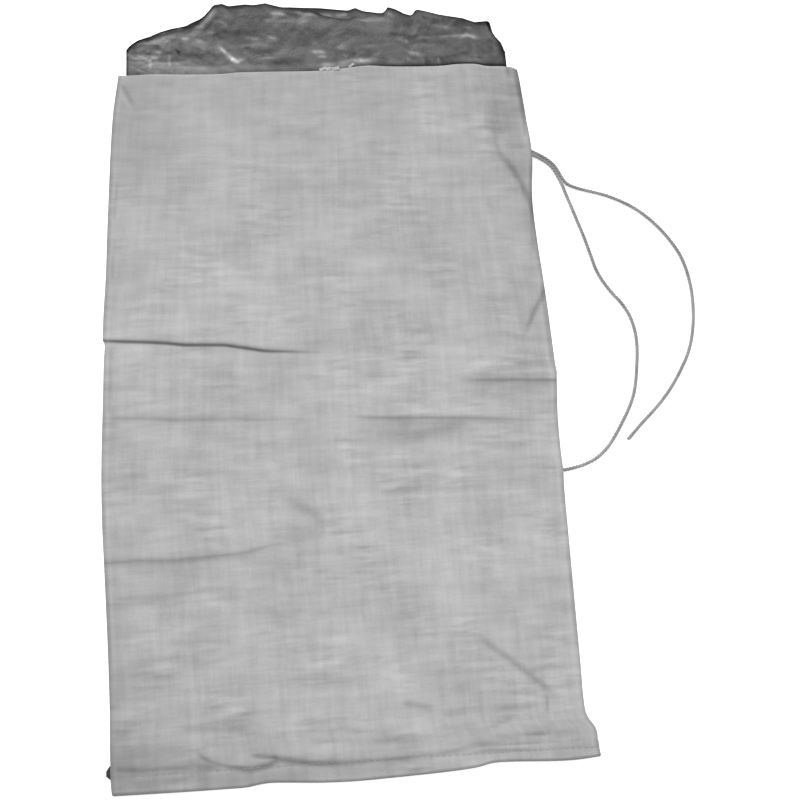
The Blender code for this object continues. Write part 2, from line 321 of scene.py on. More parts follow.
def wind_strands(tree, given):
    """Copies of the line that wind round its middle, swept into strands of uneven thickness."""
    line = add_node(tree, "GeometryNodeMeshToCurve", {"Mesh": given["Geometry"]})
    even = add_node(tree, "GeometryNodeResampleCurve", {"Curve": line, "Length": given["Step"]},
                    mode="LENGTH")
    run = add_node(tree, "GeometryNodeSplineParameter").outputs["Length"]
    copies = add_node(tree, "GeometryNodeDuplicateElements",
                      {"Geometry": even, "Amount": given["Strands"]}, domain="SPLINE")
    share = compute(tree, "DIVIDE", copies.outputs["Duplicate Index"], given["Strands"])
    turns = compute(tree, "ADD", compute(tree, "DIVIDE", run, given["Lay length"]), share)
    angle = times(tree, turns, 2 * math.pi)
    tangent = add_node(tree, "GeometryNodeInputTangent")
    sideways = add_node(tree, "ShaderNodeVectorMath", {0: tangent, 1: (0, 0, 1)}, operation="CROSS_PRODUCT")
    offset = given["Strand offset"]
    across = times(tree, compute(tree, "COSINE", angle), offset)
    lift = times_plus(tree, compute(tree, "SINE", angle), offset, given["Lift"])
    swing = add_node(tree, "ShaderNodeVectorMath",
                     {0: scaled(tree, sideways, across), 1: xyz(tree, Z=lift)}, operation="ADD")
    wound = add_node(tree, "GeometryNodeSetPosition",
                     {"Geometry": copies.outputs["Geometry"], "Offset": swing})
    uneven = compute(tree, "SUBTRACT", noise(tree, 260.0, 2.0), 0.5)
    swell = times_plus(tree, uneven, given["Unevenness"], 1.0)
    shaped = add_node(tree, "GeometryNodeSetCurveRadius", {"Curve": wound, "Radius": swell})
    return sweep(tree, shaped, STRAND_SIDES, given["Strand radius"])


print("one turn of a strand every", ROPE_SIZES["Lay length"], "m")

# %% [markdown]
# Fine hairs are set on the strands afterwards, because a used cord is never clean. They are thin
# cones, each leaning its own way. None grows near the floor, where it would go through it.

# %% Rope tree
# How far a hair may lean, in radians
LEAN = 1.1
SQUARE_CM_IN_SQUARE_M = 10000


def random_vector(tree, low, high, seed):
    """A random vector between two limits for each point."""
    return add_node(tree, "FunctionNodeRandomValue", {0: low, 1: high, "Seed": seed},
                    data_type="FLOAT_VECTOR")


def leaned(tree, rotation, low, high, seed):
    """A rotation that leans at random, between two limits, in its own frame."""
    return add_node(tree, "FunctionNodeRotateRotation",
                    {0: rotation, 1: random_vector(tree, low, high, seed)}, rotation_space="LOCAL")


def set_hairs(tree, given, strands):
    density = times(tree, given["Hair density"], SQUARE_CM_IN_SQUARE_M)
    spots = add_node(tree, "GeometryNodeDistributePointsOnFaces",
                     {"Mesh": strands, "Density": density, "Seed": given["Seed"]})
    place = add_node(tree, "GeometryNodeInputPosition")
    height = add_node(tree, "ShaderNodeSeparateXYZ", {0: place}).outputs["Z"]
    low = compute(tree, "LESS_THAN", height, given["Hair floor"])
    clear = add_node(tree, "GeometryNodeDeleteGeometry",
                     {"Geometry": spots.outputs["Points"], "Selection": low})
    hair = add_node(tree, "GeometryNodeMeshCone",
                    {"Vertices": 3, "Radius Top": 0.00001, "Radius Bottom": 0.00004,
                     "Depth": given["Hair length"]})
    rotation = leaned(tree, spots.outputs["Rotation"], (-LEAN,) * 3, (LEAN,) * 3, given["Seed"])
    return add_node(tree, "GeometryNodeInstanceOnPoints",
                    {"Points": clear, "Instance": hair.outputs["Mesh"], "Rotation": rotation})


def build_rope_tree():
    tree, given = start_tree("laid_rope", ROPE_SIZES)
    strands = wind_strands(tree, given)
    hairs = set_hairs(tree, given, strands)
    both = add_node(tree, "GeometryNodeJoinGeometry")
    tree.links.new(hairs.outputs[0], both.inputs[0])
    tree.links.new(strands.outputs[0], both.inputs[0])
    end_tree(tree, both, given["Material"])
    return tree


rope_tree = build_rope_tree()
print("rope tree with", len(rope_tree.nodes), "nodes")

# %% [markdown]
# ## Finishes
# The first finish is the cord's: matt fibre, blotched by dirt, with fine hairs as bump. It needs no
# trick to darken the grooves between the strands, because they are real shapes. Thread and loose
# tapes get the same fibre in other greys and sizes.

# %% Cord and thread finish


def start_material(name, roughness):
    material = bpy.data.materials.new(name)
    material.use_nodes = True
    tree = material.node_tree
    shader = tree.nodes["Principled BSDF"]
    shader.inputs["Roughness"].default_value = roughness
    return material, tree, shader


def grey(value):
    return (value, value, value, 1.0)


def grey_ramp(tree, factor, low, dark, high, light):
    """A colour that goes from one grey to another between two values of a factor."""
    ramp = add_node(tree, "ShaderNodeValToRGB", {"Fac": factor})
    for stop, place, value in zip(ramp.color_ramp.elements, (low, high), (dark, light)):
        stop.position = place
        stop.color = grey(value)
    return ramp


def bumps(tree, strength, distance, height):
    return add_node(tree, "ShaderNodeBump", {"Strength": strength, "Distance": distance, "Height": height})


def fibre_material(name, dark, light, fibre_scale, blotch_scale):
    """Matt twisted fibre: fine hairs as bump, and slow blotches of dirt."""
    material, tree, shader = start_material(name, 0.85)
    place = add_node(tree, "ShaderNodeTexCoord").outputs["Object"]
    blotch = noise(tree, blotch_scale, 3.0, Vector=place)
    fibre = noise(tree, fibre_scale, 2.0, Vector=place)
    colour = grey_ramp(tree, weighted(tree, fibre, 0.5, blotch, 0.5), 0.3, dark, 0.7, light)
    set_inputs(tree, shader, {"Base Color": colour, "Normal": bumps(tree, 0.5, 0.0002, fibre)})
    return material


cord_finish = fibre_material("laid_cord_fibre", 0.19, 0.42, 2600.0, 60.0)
thread_finish = fibre_material("twisted_thread", 0.22, 0.36, 4200.0, 90.0)
tape_end_finish = fibre_material("loose_tape", 0.30, 0.52, 900.0, 200.0)
print("finishes:", cord_finish.name, thread_finish.name, tape_end_finish.name)

# %% [markdown]
# Each tail is one run of the tree along its route. It takes the place of a solid cord.


def line_edges(points):
    """Edges that join points one after another."""
    return [(i, i + 1) for i in range(len(points) - 1)]


def make_tail(name, route, node):
    piece = grow(name, rope_tree, route, line_edges(route), cord_finish, ROPE_SIZES)
    piece.data.shade_smooth()
    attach(piece, "root")
    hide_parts(node)


make_tail("tie_cord_under_sack", long_route, "tie_cord_long_tail")
make_tail("tie_cord_free_end", short_route, "tie_cord_short_tail")

# %% [markdown]
# ## The shape of the laid sack
# The sack's outline in plan comes from a few points on each edge, in millimetres. They are read
# through a smooth curve, so a gentle bow needs two or three points and a bulge a few more.

# %% Outline
LEFT_EDGE = [(425, -284), (352, -292), (185, -298), (120, -299.5), (50, -302.6), (-41, -302.2),
             (-147, -303.4), (-215, -302), (-262, -299.5), (-383, -293.4), (-499, -289.4), (-527, -288.4),
             (-540, -287)]
RIGHT_EDGE = [(415, 296.6), (402, 298.4), (342, 301.6), (277, 302.4), (214, 297), (152, 297.4), (91, 300),
              (20, 302), (-52, 302.4), (-111, 298), (-272, 294.6), (-430, 291.4), (-484, 290),
              (-494, 293), (-504, 299.6), (-513, 301.6), (-524, 301), (-540, 303.6)]
MOUTH = [(-284, 424), (-240, 423.4), (-193, 421.4), (-138, 421.6), (-112, 424), (10, 425.6), (52, 431),
         (75, 433), (105, 431), (176, 430.6), (205, 433.4), (232, 433.4), (250, 430.6), (281, 431),
         (294, 426.5), (297, 418)]
BOTTOM = [(-290, -539.6), (-204, -541.4), (-150, -542), (-130, -542), (-118, -540.4), (-103, -539.2),
          (-80, -540.6), (-43, -543.6), (0, -545.2), (40, -544.8), (112, -543.2), (148, -541),
          (172, -537.2), (247, -541.2), (275, -541.6), (303, -539.9)]
SEAM = [(-290, -519), (0, -522), (303, -528)]


def read_outline(points, at):
    """Values of a smooth curve through an outline's points, held level past its ends."""
    knots = np.array(sorted(points), float)
    x, y = knots[:, 0], knots[:, 1]
    at = np.clip(at, x[0], x[-1])
    i = np.clip(np.searchsorted(x, at, side="right") - 1, 0, len(x) - 2)
    slope = np.empty(len(x))
    slope[1:-1] = (y[2:] - y[:-2]) / (x[2:] - x[:-2])
    slope[0] = (y[1] - y[0]) / (x[1] - x[0])
    slope[-1] = (y[-1] - y[-2]) / (x[-1] - x[-2])
    width = x[i + 1] - x[i]
    t = (at - x[i]) / width
    return ((2 * t**3 - 3 * t**2 + 1) * y[i] + (t**3 - 2 * t**2 + t) * width * slope[i]
            + (3 * t**2 - 2 * t**3) * y[i + 1] + (t**3 - t**2) * width * slope[i + 1])


middle_width = read_outline(RIGHT_EDGE, 0.0) - read_outline(LEFT_EDGE, 0.0)
print("sack:", round(float(middle_width), 1), "mm wide in the middle")

# %% [markdown]
# Before any crease, a panel's height comes from what lies under it and from the air in the sack.
# The back panel rests on the floor, on the turned-up hem and on the cord. The front panel stays a
# stack of cloth and film above it, pressed flat at the side folds and fuller in the middle. A soft
# maximum rounds the change from one height to another.

# %% Resting heights
MIDDLE_HALF = 4.35
SIDE_HALF = 2.1
HEM_HALF = 1.8
SIDE_TAPER = 70.0
HEM_SETTLES = 18.0
HEM_RISE_LENGTH = 60.0
HEM_FLAP_MIDDLE = 3.1
HEM_BODY_MIDDLE = 7.0
TURN_RADIUS = (HEM_BODY_MIDDLE - HEM_FLAP_MIDDLE) / 2
TURN_MIDDLE = (HEM_BODY_MIDDLE + HEM_FLAP_MIDDLE) / 2
FOLD_REACH = TURN_RADIUS + HEM_HALF
TACK_LIFT = TACK_THREAD + CORD + 3 * CORD_GAP
TAIL_LIFT = CORD + 2 * CORD_GAP
# Where the cord lifts the cloth: centre, half of the level part along the edge, and its ramp
TACK_DOME = ((276, 292), 10, 48)
TAIL_DOME = ((232, -179), 4)
TAIL_RAMP_BACK = 20
TAIL_RAMP_FRONT = 55
FRONT_BLEND = 0.8


def dome(x, y, centre, flat, ramp):
    """1 near a centre's Y, from its X outwards to the right edge, and 0 past the ramp."""
    inward = smooth_step((x - (centre[0] - ramp)) / ramp)
    along = 1 - smooth_step((abs(y - centre[1]) - flat) / ramp)
    return inward * along


def above_hem(x, y):
    """0 over the hem's flap and 1 where the sack lies on the floor."""
    return smooth_step((y - read_outline(SEAM, x) - HEM_SETTLES) / HEM_RISE_LENGTH)


def hem_lift(x, y):
    """How far the hem's flap lifts what lies on it."""
    return (HEM_BODY_MIDDLE - HEM_HALF) * (1 - above_hem(x, y))


def underside(x, y):
    """Height of the back panel: only the hem's flap and the cord lift it."""
    tack = TACK_LIFT * dome(x, y, *TACK_DOME)
    tail = TAIL_LIFT * dome(x, y, *TAIL_DOME, TAIL_RAMP_BACK)
    return np.maximum(np.maximum(hem_lift(x, y), tack), tail)


def inside_edge(x, y):
    """Distance in from the nearer side edge."""
    return np.minimum(x - read_outline(LEFT_EDGE, y), read_outline(RIGHT_EDGE, y) - x)


def soft_max(base, other, blend):
    """The larger of two heights, with a rounded change between them."""
    return base + blend * np.logaddexp(0, (other - base) / blend)


def resting_front(x, y):
    """Height of the front panel before its creases: air in the middle, pressed flat at the sides."""
    half = SIDE_HALF + (MIDDLE_HALF - SIDE_HALF) * smooth_step(inside_edge(x, y) / SIDE_TAPER)
    half = HEM_HALF + (half - HEM_HALF) * above_hem(x, y)
    tail = TAIL_LIFT * dome(x, y, *TAIL_DOME, TAIL_RAMP_FRONT)
    pushed = np.maximum(underside(x, y), tail) + 2 * HEM_HALF
    return soft_max(hem_lift(x, y) + 2 * half, pushed, FRONT_BLEND)


print("front panel in the middle:", round(float(resting_front(0.0, 0.0)), 1), "mm up")

# %% [markdown]
# Creases are what makes cloth look like cloth. A cloth simulation would put them anywhere, so each
# one is a named line of points with a height and a reach to either side. A lip raises the cloth on
# one side, where it laps over. Pulls are the short dimples of a single tight tape.

# %% Creases
# Each line: points, height, reach on its left, reach on its right, lip, where it starts to fade
CREASES = {
    "side lap": ([(-308, 27), (-220, 18.5), (-194, 14.6), (-143, 12.5), (-111, 6.2), (-90, 1.8),
                  (-58, -0.4), (4, -4.5)], -1.5, 2.6, 14, 1.5, 0.0, 0.62),
    "middle fold, left": ([(-306, -79), (-236, -83.5), (-212, -86.7), (-175, -88.5), (-143, -88.9),
                           (-73, -92.3), (-8, -95.9)], -0.6, 4, 14, 0.15, 0.1, 0.55),
    "middle fold, right": ([(20, -94), (84, -97.4), (151, -100.4), (189, -103), (242, -107), (270, -108)],
                           -0.4, 4, 14, 0.3, 0.12, 0.75),
    "middle fold, spreading": ([(190, -107), (136, -119), (88, -125), (30, -135)],
                               -0.9, 13, 13, 0, 0.3, 0.5),
    "left crease over it": ([(-306, -38), (-270, -40), (-235, -44)], -0.8, 4, 5, 0, 0.0, 0.3),
    "edge ridge": ([(140, -41), (224, -44), (306, -43)], 1.7, 8, 6, 0, 0.5, 1.0),
    "edge valley": ([(156, -49), (224, -52), (304, -54)], -0.9, 2.5, 14, 0, 0.35, 1.0),
    "edge dip": ([(232, -31), (303, -33)], -0.4, 6, 6, 0, 0.3, 1.0),
    "lower fold": ([(-304, -265), (-255, -265), (-210, -268), (-173, -266), (-119, -263), (-94, -256),
                    (-55, -252), (4, -246)], -0.6, 5, 14, 0.3, 0.0, 0.4),
    "lower fold, second": ([(-290, -309), (-245, -313), (-218, -312), (-188, -309), (-171, -306),
                            (-118, -306)], -0.6, 5, 9, 0, 0.15, 0.6),
    "lower fold, third": ([(-290, -318), (-245, -319), (-212, -314)], -0.4, 3, 7, 0, 0.3, 0.5),
    "dent": ([(-76, -192), (-53, -209), (-34, -221), (-16, -246)], -1.0, 10, 10, 0, 0.35, 0.6),
    "corner crease": ([(158, -378), (176, -398), (195, -412), (213, -428), (231, -444),
                       (243, -454), (256, -466)], -1.1, 5.5, 5.5, 0, 0.25, 0.85),
    "corner crease, end": ([(244, -460), (243, -468), (241, -488)], -1.1, 2.5, 3, 0, 0.3, 0.7),
    "shoulder fold": ([(253, 330), (252, 300), (258, 282), (274, 259), (285, 236), (292, 214), (299, 188)],
                      -1.5, 6, 6, 0, 0.5, 0.95),
    "shoulder slope": ([(275, 400), (264, 380), (253, 352), (252, 327), (252, 300)],
                       -0.4, 16, 9, 0, 0.4, 0.8),
    "shoulder ridge": ([(245, 400), (238, 343), (238, 295), (240, 255)], 0.7, 7, 7, 0, 0.4, 0.6),
    "waist fold": ([(305, 88), (294, 65), (283, 47), (272, 26), (260, 0)], -1.7, 4.5, 7, 0, 0.1, 0.6),
    "mouth corner": ([(-280, 412), (-271, 391), (-260, 366)], -1.2, 5, 4, 0, 0.2, 0.6),
    "mouth corner ridge": ([(-286, 408), (-279, 388), (-270, 366)], 0.6, 3, 3, 0, 0.2, 0.6),
    "tail line": ([(180, -172), (209, -173), (257, -175), (298, -177)], -0.25, 2.5, 2.5, 0, 0.4, 1.0),
    "upper hem swell": ([(-222, -468), (-184, -472), (-111, -476)], -0.8, 6, 6, 0, 0.3, 0.7),
    "hem smudge": ([(4, -501), (56, -502), (108, -503)], -0.8, 6, 5, 0, 0.3, 0.6),
    "hem pillow": ([(-189, -492), (-186, -499), (-179, -506), (-167, -512), (-150, -517), (-126, -521)],
                   -1.3, 4, 3, 0.5, 0.2, 0.9),
    "hem valley, left": ([(-289, -509), (-255, -513), (-221, -513), (-192, -512), (-158, -518)],
                         -1.2, 4, 4, 0, 0.1, 0.9),
    "hem valley": ([(-160, -520), (-126, -523), (-104, -519), (-93, -512.5), (-80, -515), (-50, -521),
                    (-12, -524), (30, -525)], -2.3, 4.5, 4.5, 0, 0.25, 0.6),
    "hem valley, right": ([(-12, -524), (55, -523.5), (104, -521), (154, -517)], -0.9, 3, 3, 0, 0.2, 0.8),
    "hem pinch": ([(-126, -507), (-110, -508.5), (-92, -510)], -2.3, 2.6, 2.6, 0, 0.3, 0.9),
    "right edge, upper": ([(291, 419), (295, 383), (297, 342), (296, 309)], -1.0, 3, 3, 0, 0.1, 0.9),
    "right edge, lower": ([(294, 100), (296, 40), (297, 0), (298, -32)], -0.9, 3, 3, 0, 0.3, 0.95),
    "right edge, middle": ([(293, 200), (290, 165), (290, 128)], -0.8, 3, 3, 0, 0.2, 0.8),
    "left edge, upper": ([(-284, 262), (-287, 230), (-289, 193)], -0.7, 3, 3, 0, 0.2, 0.8),
    "left edge, middle": ([(-290, 152), (-291, 108)], -0.8, 2.5, 2.5, 0, 0.2, 0.8),
    "left edge, lower": ([(-292, 18), (-293, -41), (-294, -77)], -0.6, 2.5, 2.5, 0, 0.1, 0.9),
    "hem right, first": ([(161, -507), (192, -509), (226, -508), (248, -507)], -1.3, 2.5, 3, 0.3, 0.3, 0.8),
    "hem right, second": ([(120, -514), (167, -515), (216, -517), (240, -516)],
                          -1.1, 2.5, 3, 0.3, 0.3, 0.8),
    "hem right, third": ([(141, -522), (178, -523), (222, -526)], -0.8, 2.5, 2.5, 0, 0.3, 0.8),
    "hem right, pinch": ([(153, -500), (160, -512), (163, -526)], -0.4, 8, 8, 0, 0.3, 0.8),
    "hem right, smudge": ([(160, -497), (182, -491), (206, -482)], -0.9, 4, 4, 0, 0.3, 0.7),
    "hem right, ripple": ([(106, -477), (124, -479), (146, -477)], -0.7, 4, 4, 0, 0.3, 0.7),
    "mouth corner, right": ([(280, 434), (282, 424), (283, 412)], -1.0, 2, 3, 0, 0.0, 0.6),
    "low smudge": ([(58, -459), (80, -463), (104, -471)], -0.8, 5, 5, 0, 0.3, 0.7),
}
# Short pulls in the weave: where, and how long
PULLS = [(-120, 117, 24), (-137, 103, 30), (121, -17, 32), (-14, -304, 22), (-201, -371, 22),
         (71, -436, 18), (238, -237, 18), (276, -254, 26), (-110, -367, 34), (195, -156, 36),
         (252, -162, 60), (24, -54, 34), (50, -13, 50), (108, 43, 30), (-60, 214, 30), (-190, 250, 26)]

print(len(CREASES), "creases and", len(PULLS), "pulls")

# %% [markdown]
# The height falls off sharply from a crease's line, so that it stays a crease and doesn't turn into
# a wave. The same pass also tells how deep in a crease each point lies, which the painted shade in
# the creases needs.

# %% Heights of the creases
LIP_LENGTH = 32.0
LIP_START = 1.4
PULL_DEPTH = 0.35
PULL_RISE = 0.3


def along_line(x, y, line):
    """Signed distance from a line, plus on its left, and the share of its length passed."""
    line = np.array(line, float)
    steps = np.diff(line, axis=0)
    lengths = np.linalg.norm(steps, axis=1)
    starts = np.concatenate([[0], np.cumsum(lengths)[:-1]])
    best = np.full(np.shape(x), np.inf)
    side = np.ones(np.shape(x))
    share = np.zeros(np.shape(x))
    for start, step, length, run in zip(line, steps, lengths, starts):
        dx, dy = x - start[0], y - start[1]
        t = np.clip((dx * step[0] + dy * step[1]) / length**2, 0, 1)
        gap = np.hypot(dx - t * step[0], dy - t * step[1])
        near = gap < best
        best = np.where(near, gap, best)
        side = np.where(near, np.where(step[0] * dy - step[1] * dx >= 0, 1.0, -1.0), side)
        share = np.where(near, (run + t * length) / lengths.sum(), share)
    return best * side, share


def sharp(gap, reach):
    """1 at a gap of 0 and less to either side, with a sharp peak."""
    return np.exp(-abs(gap) / reach)


def bell(gap, width):
    """1 at a gap of 0 and less to either side, with a round peak."""
    return np.exp(-(gap / width) ** 2)


def fade(share, fade_in, fade_out):
    """How strong a line is along its length: it may grow at its start and fade at its end."""
    strength = smooth_step(share / fade_in) if fade_in > 0 else 1.0
    if fade_out < 1:
        strength = strength * smooth_step((1 - share) / (1 - fade_out))
    return strength


def crease_height(x, y):
    """Height that all creases and pulls add, and how deep in a crease each point lies."""
    height = np.zeros(np.shape(x))
    depth = np.zeros(np.shape(x))
    for line, peak, left, right, lip, fade_in, fade_out in CREASES.values():
        gap, share = along_line(x, y, line)
        strength = fade(share, fade_in, fade_out)
        lap = smooth_step((gap + LIP_START / 2) / LIP_START) * np.exp(-np.maximum(gap, 0) / LIP_LENGTH)
        height += strength * (peak * sharp(gap, np.where(gap > 0, left, right)) + lip * lap)
        depth += strength * max(-peak, 0.0) * bell(gap, 0.8 * min(left, right))
    for px, py, length in PULLS:
        near = np.exp(-np.abs((x - px) / (length / 2)) ** 4)
        gap = y - py
        height += near * (-PULL_DEPTH * sharp(gap, 1.6) + PULL_RISE * sharp(gap + 4.5, 2.0))
        depth += near * PULL_DEPTH * bell(gap, 1.3)
    return height, depth


lap_height, _ = crease_height(np.array([-250.0]), np.array([20.0]))
print("the side lap near its start:", round(float(lap_height[0]), 2), "mm")

# %% [markdown]
# Between the creases the cloth rises and falls a little, more across the sack than along it,
# because it was folded in four to be stored. Along the hem the stitches draw the cloth in, so it
# puckers into small pillows above and below the seam.

# %% Front panel heights
# Rise and fall of the cloth: width and length of a cell, and height
UNDULATION = [(150, 70, 0.55), (60, 26, 0.3), (24, 10, 0.12), (9, 30, 0.05)]
PUCKER_PITCH = 26.0
# Pillows at the hem: pitch, seed, middle above the seam, half width and height
PILLOWS = [(PUCKER_PITCH, 5, 8, 11, 0.9), (PUCKER_PITCH * 0.7, 6, -9, 6, 0.45)]
SEAM_PULL = 0.7
SEAM_DEPTH = 0.8
EDGE_CALM = 0.35
EDGE_CALM_WIDTH = 25
LEAST_STACK = 2.4
STACK_BLEND = 0.6


def soft_noise(x, y, wide, tall, seed):
    """Smooth random values from -1 to 1, on cells of a given width and height."""
    table = np.random.default_rng(seed).uniform(-1, 1, (61, 61))
    u, v = x / wide, y / tall
    i, j = np.floor(u).astype(int), np.floor(v).astype(int)
    fu, fv = smooth_step(u - i), smooth_step(v - j)
    top = table[i % 61, j % 61] * (1 - fu) + table[(i + 1) % 61, j % 61] * fu
    low = table[i % 61, (j + 1) % 61] * (1 - fu) + table[(i + 1) % 61, (j + 1) % 61] * fu
    return top * (1 - fv) + low * fv


def front_relief(x, y):
    """Creases, soft undulation and the puckers of the hem, with the depth in creases."""
    height, depth = crease_height(x, y)
    for seed, (wide, tall, rise) in enumerate(UNDULATION):
        height = height + rise * soft_noise(x, y, wide, tall, 11 + seed)
    seam_gap = y - read_outline(SEAM, x)
    height = height - SEAM_PULL * sharp(seam_gap, 4.0)
    for pitch, seed, middle, half_width, rise in PILLOWS:
        pillow = soft_noise(x, y * 0, pitch, 1.0, seed) * bell(seam_gap - middle, half_width)
        height = height + rise * pillow
    depth = depth + SEAM_DEPTH * bell(seam_gap, 2.2)
    calm = EDGE_CALM + (1 - EDGE_CALM) * smooth_step(inside_edge(x, y) / EDGE_CALM_WIDTH)
    return height * calm, depth


def cloth_front(x, y):
    """Height of the front panel's outer face, never closer to the back panel than the stack."""
    relief, depth = front_relief(x, y)
    low = underside(x, y) + LEAST_STACK
    return soft_max(low, resting_front(x, y) + relief, STACK_BLEND), depth


heights, _ = cloth_front(np.linspace(-290, 290, 59), np.full(59, 10.0))
print("front panel across the side lap:", round(float(heights.min()), 1), "to",
      round(float(heights.max()), 1), "mm")

# %% [markdown]
# ## The grid
# A ring of points runs once round the flattened tube: up the left fold, across the front panel,
# down the right fold and back under. Rings follow one another from the mouth to the sewn bottom,
# round the turn and along the flap. A grid bends where it is told to, and it needs no unwrapping,
# because each point knows its place on the tube.

# %% Rings
# How much the points of a ring crowd towards the side folds
CROWDING = 0.55


def ring_layout(front_count, back_count, fold_count):
    """For each point of a ring: its share across the panel, its level and its place on a fold."""
    crowd = np.linspace(0, 1, front_count)
    crowd = crowd - CROWDING * np.sin(2 * np.pi * crowd) / (2 * np.pi)
    under = np.linspace(1, 0, back_count)
    angles = np.linspace(-np.pi / 2, np.pi / 2, fold_count + 2)[1:-1]
    share = np.concatenate([np.zeros(fold_count), crowd, np.ones(fold_count), under])
    level = np.concatenate([np.sin(angles), np.ones(front_count), np.sin(angles[::-1]),
                            -np.ones(back_count)])
    out = np.concatenate([-np.cos(angles), np.zeros(front_count), np.cos(angles), np.zeros(back_count)])
    return share, level, out


def ring_points(layout, edges, y_at, top_at, bottom_at):
    """A ring's points: y_at gives a point's Y from its X and level, the others give heights."""
    share, level, out = layout
    left, right = edges
    ends = np.array([left, right])
    radius = (top_at(ends, y_at(ends, 0)) - bottom_at(ends, y_at(ends, 0))) / 2
    inner_left, inner_right = left + radius[0], right - radius[1]
    x = inner_left + share * (inner_right - inner_left)
    y = y_at(x, level)
    top = top_at(x, y)
    bottom = bottom_at(x, y)
    reach = np.where(out < 0, radius[0], radius[1])
    return np.column_stack([x + out * reach, y, (top + bottom) / 2 + level * (top - bottom) / 2])


print("points on a small ring:", len(ring_layout(6, 4, 2)[0]))

# %% [markdown]
# Cloth has a thickness, so each sheet gets an inner wall and is closed at both rims. The wall
# follows the outer face's normals. It can do with fewer rows where nothing shows it, but a row left
# out must not let a crease cut through, so the kept ones go as deep as their neighbourhood.

# %% Walls and closed sheets
SHARP_ANGLE = math.radians(75)
# From the last point of a ring back to its first, in millimetres
CLOSING_STEP = 13.0


def surface_normals(grid):
    """Outward normals of a grid of rings, which closes on itself along each ring."""
    along = np.roll(grid, -1, axis=1) - np.roll(grid, 1, axis=1)
    down = np.gradient(grid, axis=0)
    normal = np.cross(down, along)
    return normal / np.maximum(np.linalg.norm(normal, axis=2, keepdims=True), 1e-9)


def inner_wall(grid, wall, keep, level):
    """Rings inside the outer ones by a wall, on the kept rows only, and clear of every crease."""
    inside = grid - wall * surface_normals(grid)
    rows = []
    for k, row in enumerate(keep):
        first = keep[max(k - 1, 0)]
        last = keep[min(k + 1, len(keep) - 1)]
        ring = inside[row].copy()
        if last - first > 2:
            window = grid[first:last + 1, :, 2]
            clear = np.where(level > 0, window.min(axis=0), window.max(axis=0))
            ring[:, 2] -= (grid[row, :, 2] - clear) * abs(level)
        rows.append(ring)
    return np.array(rows)


def add_shell(name, outer, inner, material):
    """A closed sheet: outer rings, then inner ones in reverse, joined at both rims.

    Both walls give their points, their places on the flat cloth and their shade.
    """
    rings, uv, shade = (np.concatenate([a, b[::-1]]) for a, b in zip(outer, inner))
    rows, count = rings.shape[:2]
    i, j = np.meshgrid(np.arange(rows), np.arange(count), indexing="ij")
    below, beside = (i + 1) % rows, (j + 1) % count
    corners = [(i, j), (below, j), (below, beside), (i, beside)]
    faces = np.stack([a * count + b for a, b in corners], axis=-1).reshape(-1, 4)
    mesh = bpy.data.meshes.new(name)
    mesh.from_pydata((rings.reshape(-1, 3) * MM).tolist(), [], faces.tolist())
    once_round = np.array([uv[:, -1:, 0].max() + CLOSING_STEP, 0.0])
    wrapped = []
    for a, b in corners:
        closes = (b == 0) & (j == count - 1)
        wrapped.append(uv[a, b] + closes[..., None] * once_round)
    layer = mesh.uv_layers.new(name="cloth")
    layer.data.foreach_set("uv", (np.stack(wrapped, axis=2).reshape(-1, 2) * MM).ravel())
    mesh.attributes.new("shade", "FLOAT", "POINT").data.foreach_set("value", shade.ravel())
    mesh.materials.append(material)
    mesh.shade_smooth()
    mesh.set_sharp_from_angle(angle=SHARP_ANGLE)
    print(name, len(mesh.polygons) * 2, "triangles")
    return in_scene(name, mesh)


print("edges sharper than", round(math.degrees(SHARP_ANGLE)), "degrees stay sharp")

# %% [markdown]
# The rows follow guide lines across the sack. Between two guides they are spaced out from fine at
# both guides to coarse in the middle. The guides run along the main creases, so that a sharp crease
# needs few faces.

# %% Rows of the sack
GUIDES = [
    [(-300, 331), (300, 331)],
    [(-300, 180), (300, 180)],
    [(-300, 26), (-220, 18.5), (-194, 14.6), (-143, 12.5), (-111, 6.2), (-90, 1.8), (-58, -0.4),
     (-8, -4.5), (80, -22), (156, -46), (300, -49)],
    [(-300, -79), (-212, -86.7), (-175, -90.5), (-143, -88.9), (-8, -94.5), (84, -98), (189, -101),
     (300, -108)],
    [(-300, -178), (300, -178)],
    [(-300, -265), (-210, -268), (-173, -266), (-119, -263), (-94, -256), (-55, -254), (120, -255),
     (300, -260)],
    [(-300, -313), (-245, -315), (-188, -311), (-121, -307), (100, -309), (300, -312)],
    [(-300, -440), (300, -440)],
    SEAM,
]
FINE_STEP = 1.2
COARSE_STEP = 3.9
STEP_GROWTH = 1.18


def row_shares(length):
    """Shares from one guide to the next: fine steps at both ends, coarse ones between."""
    steps = []
    step = FINE_STEP
    while sum(steps) < length / 2:
        steps.append(step)
        step = min(step * STEP_GROWTH, COARSE_STEP)
    places = np.cumsum([0] + steps + steps[::-1])
    return places[:-1] / places[-1]


def fold_start(x):
    """Where the body ends and the turn round the bottom begins."""
    return read_outline(BOTTOM, x) + FOLD_REACH


def sack_rows():
    """A function of X for each row of the body, from the mouth to the fold at the bottom."""
    lines = [lambda x: read_outline(MOUTH, x)]
    lines += [lambda x, g=guide: read_outline(g, x) for guide in GUIDES] + [fold_start]
    rows = []
    for upper, lower in zip(lines, lines[1:]):
        gap = float(upper(0.0) - lower(0.0))
        for share in row_shares(gap):
            rows.append(lambda x, a=upper, b=lower, s=share: a(x) * (1 - s) + b(x) * s)
    return rows + [fold_start]


print("rows of the body:", len(sack_rows()))

# %% [markdown]
# Each row becomes a ring between the two side edges. Where the side lap meets the left fold, the
# edge steps in and eases back out below it. Where the ridge meets the right fold, it bulges.

# %% Rings of the body
SACK_LAYOUT = ring_layout(162, 40, 7)
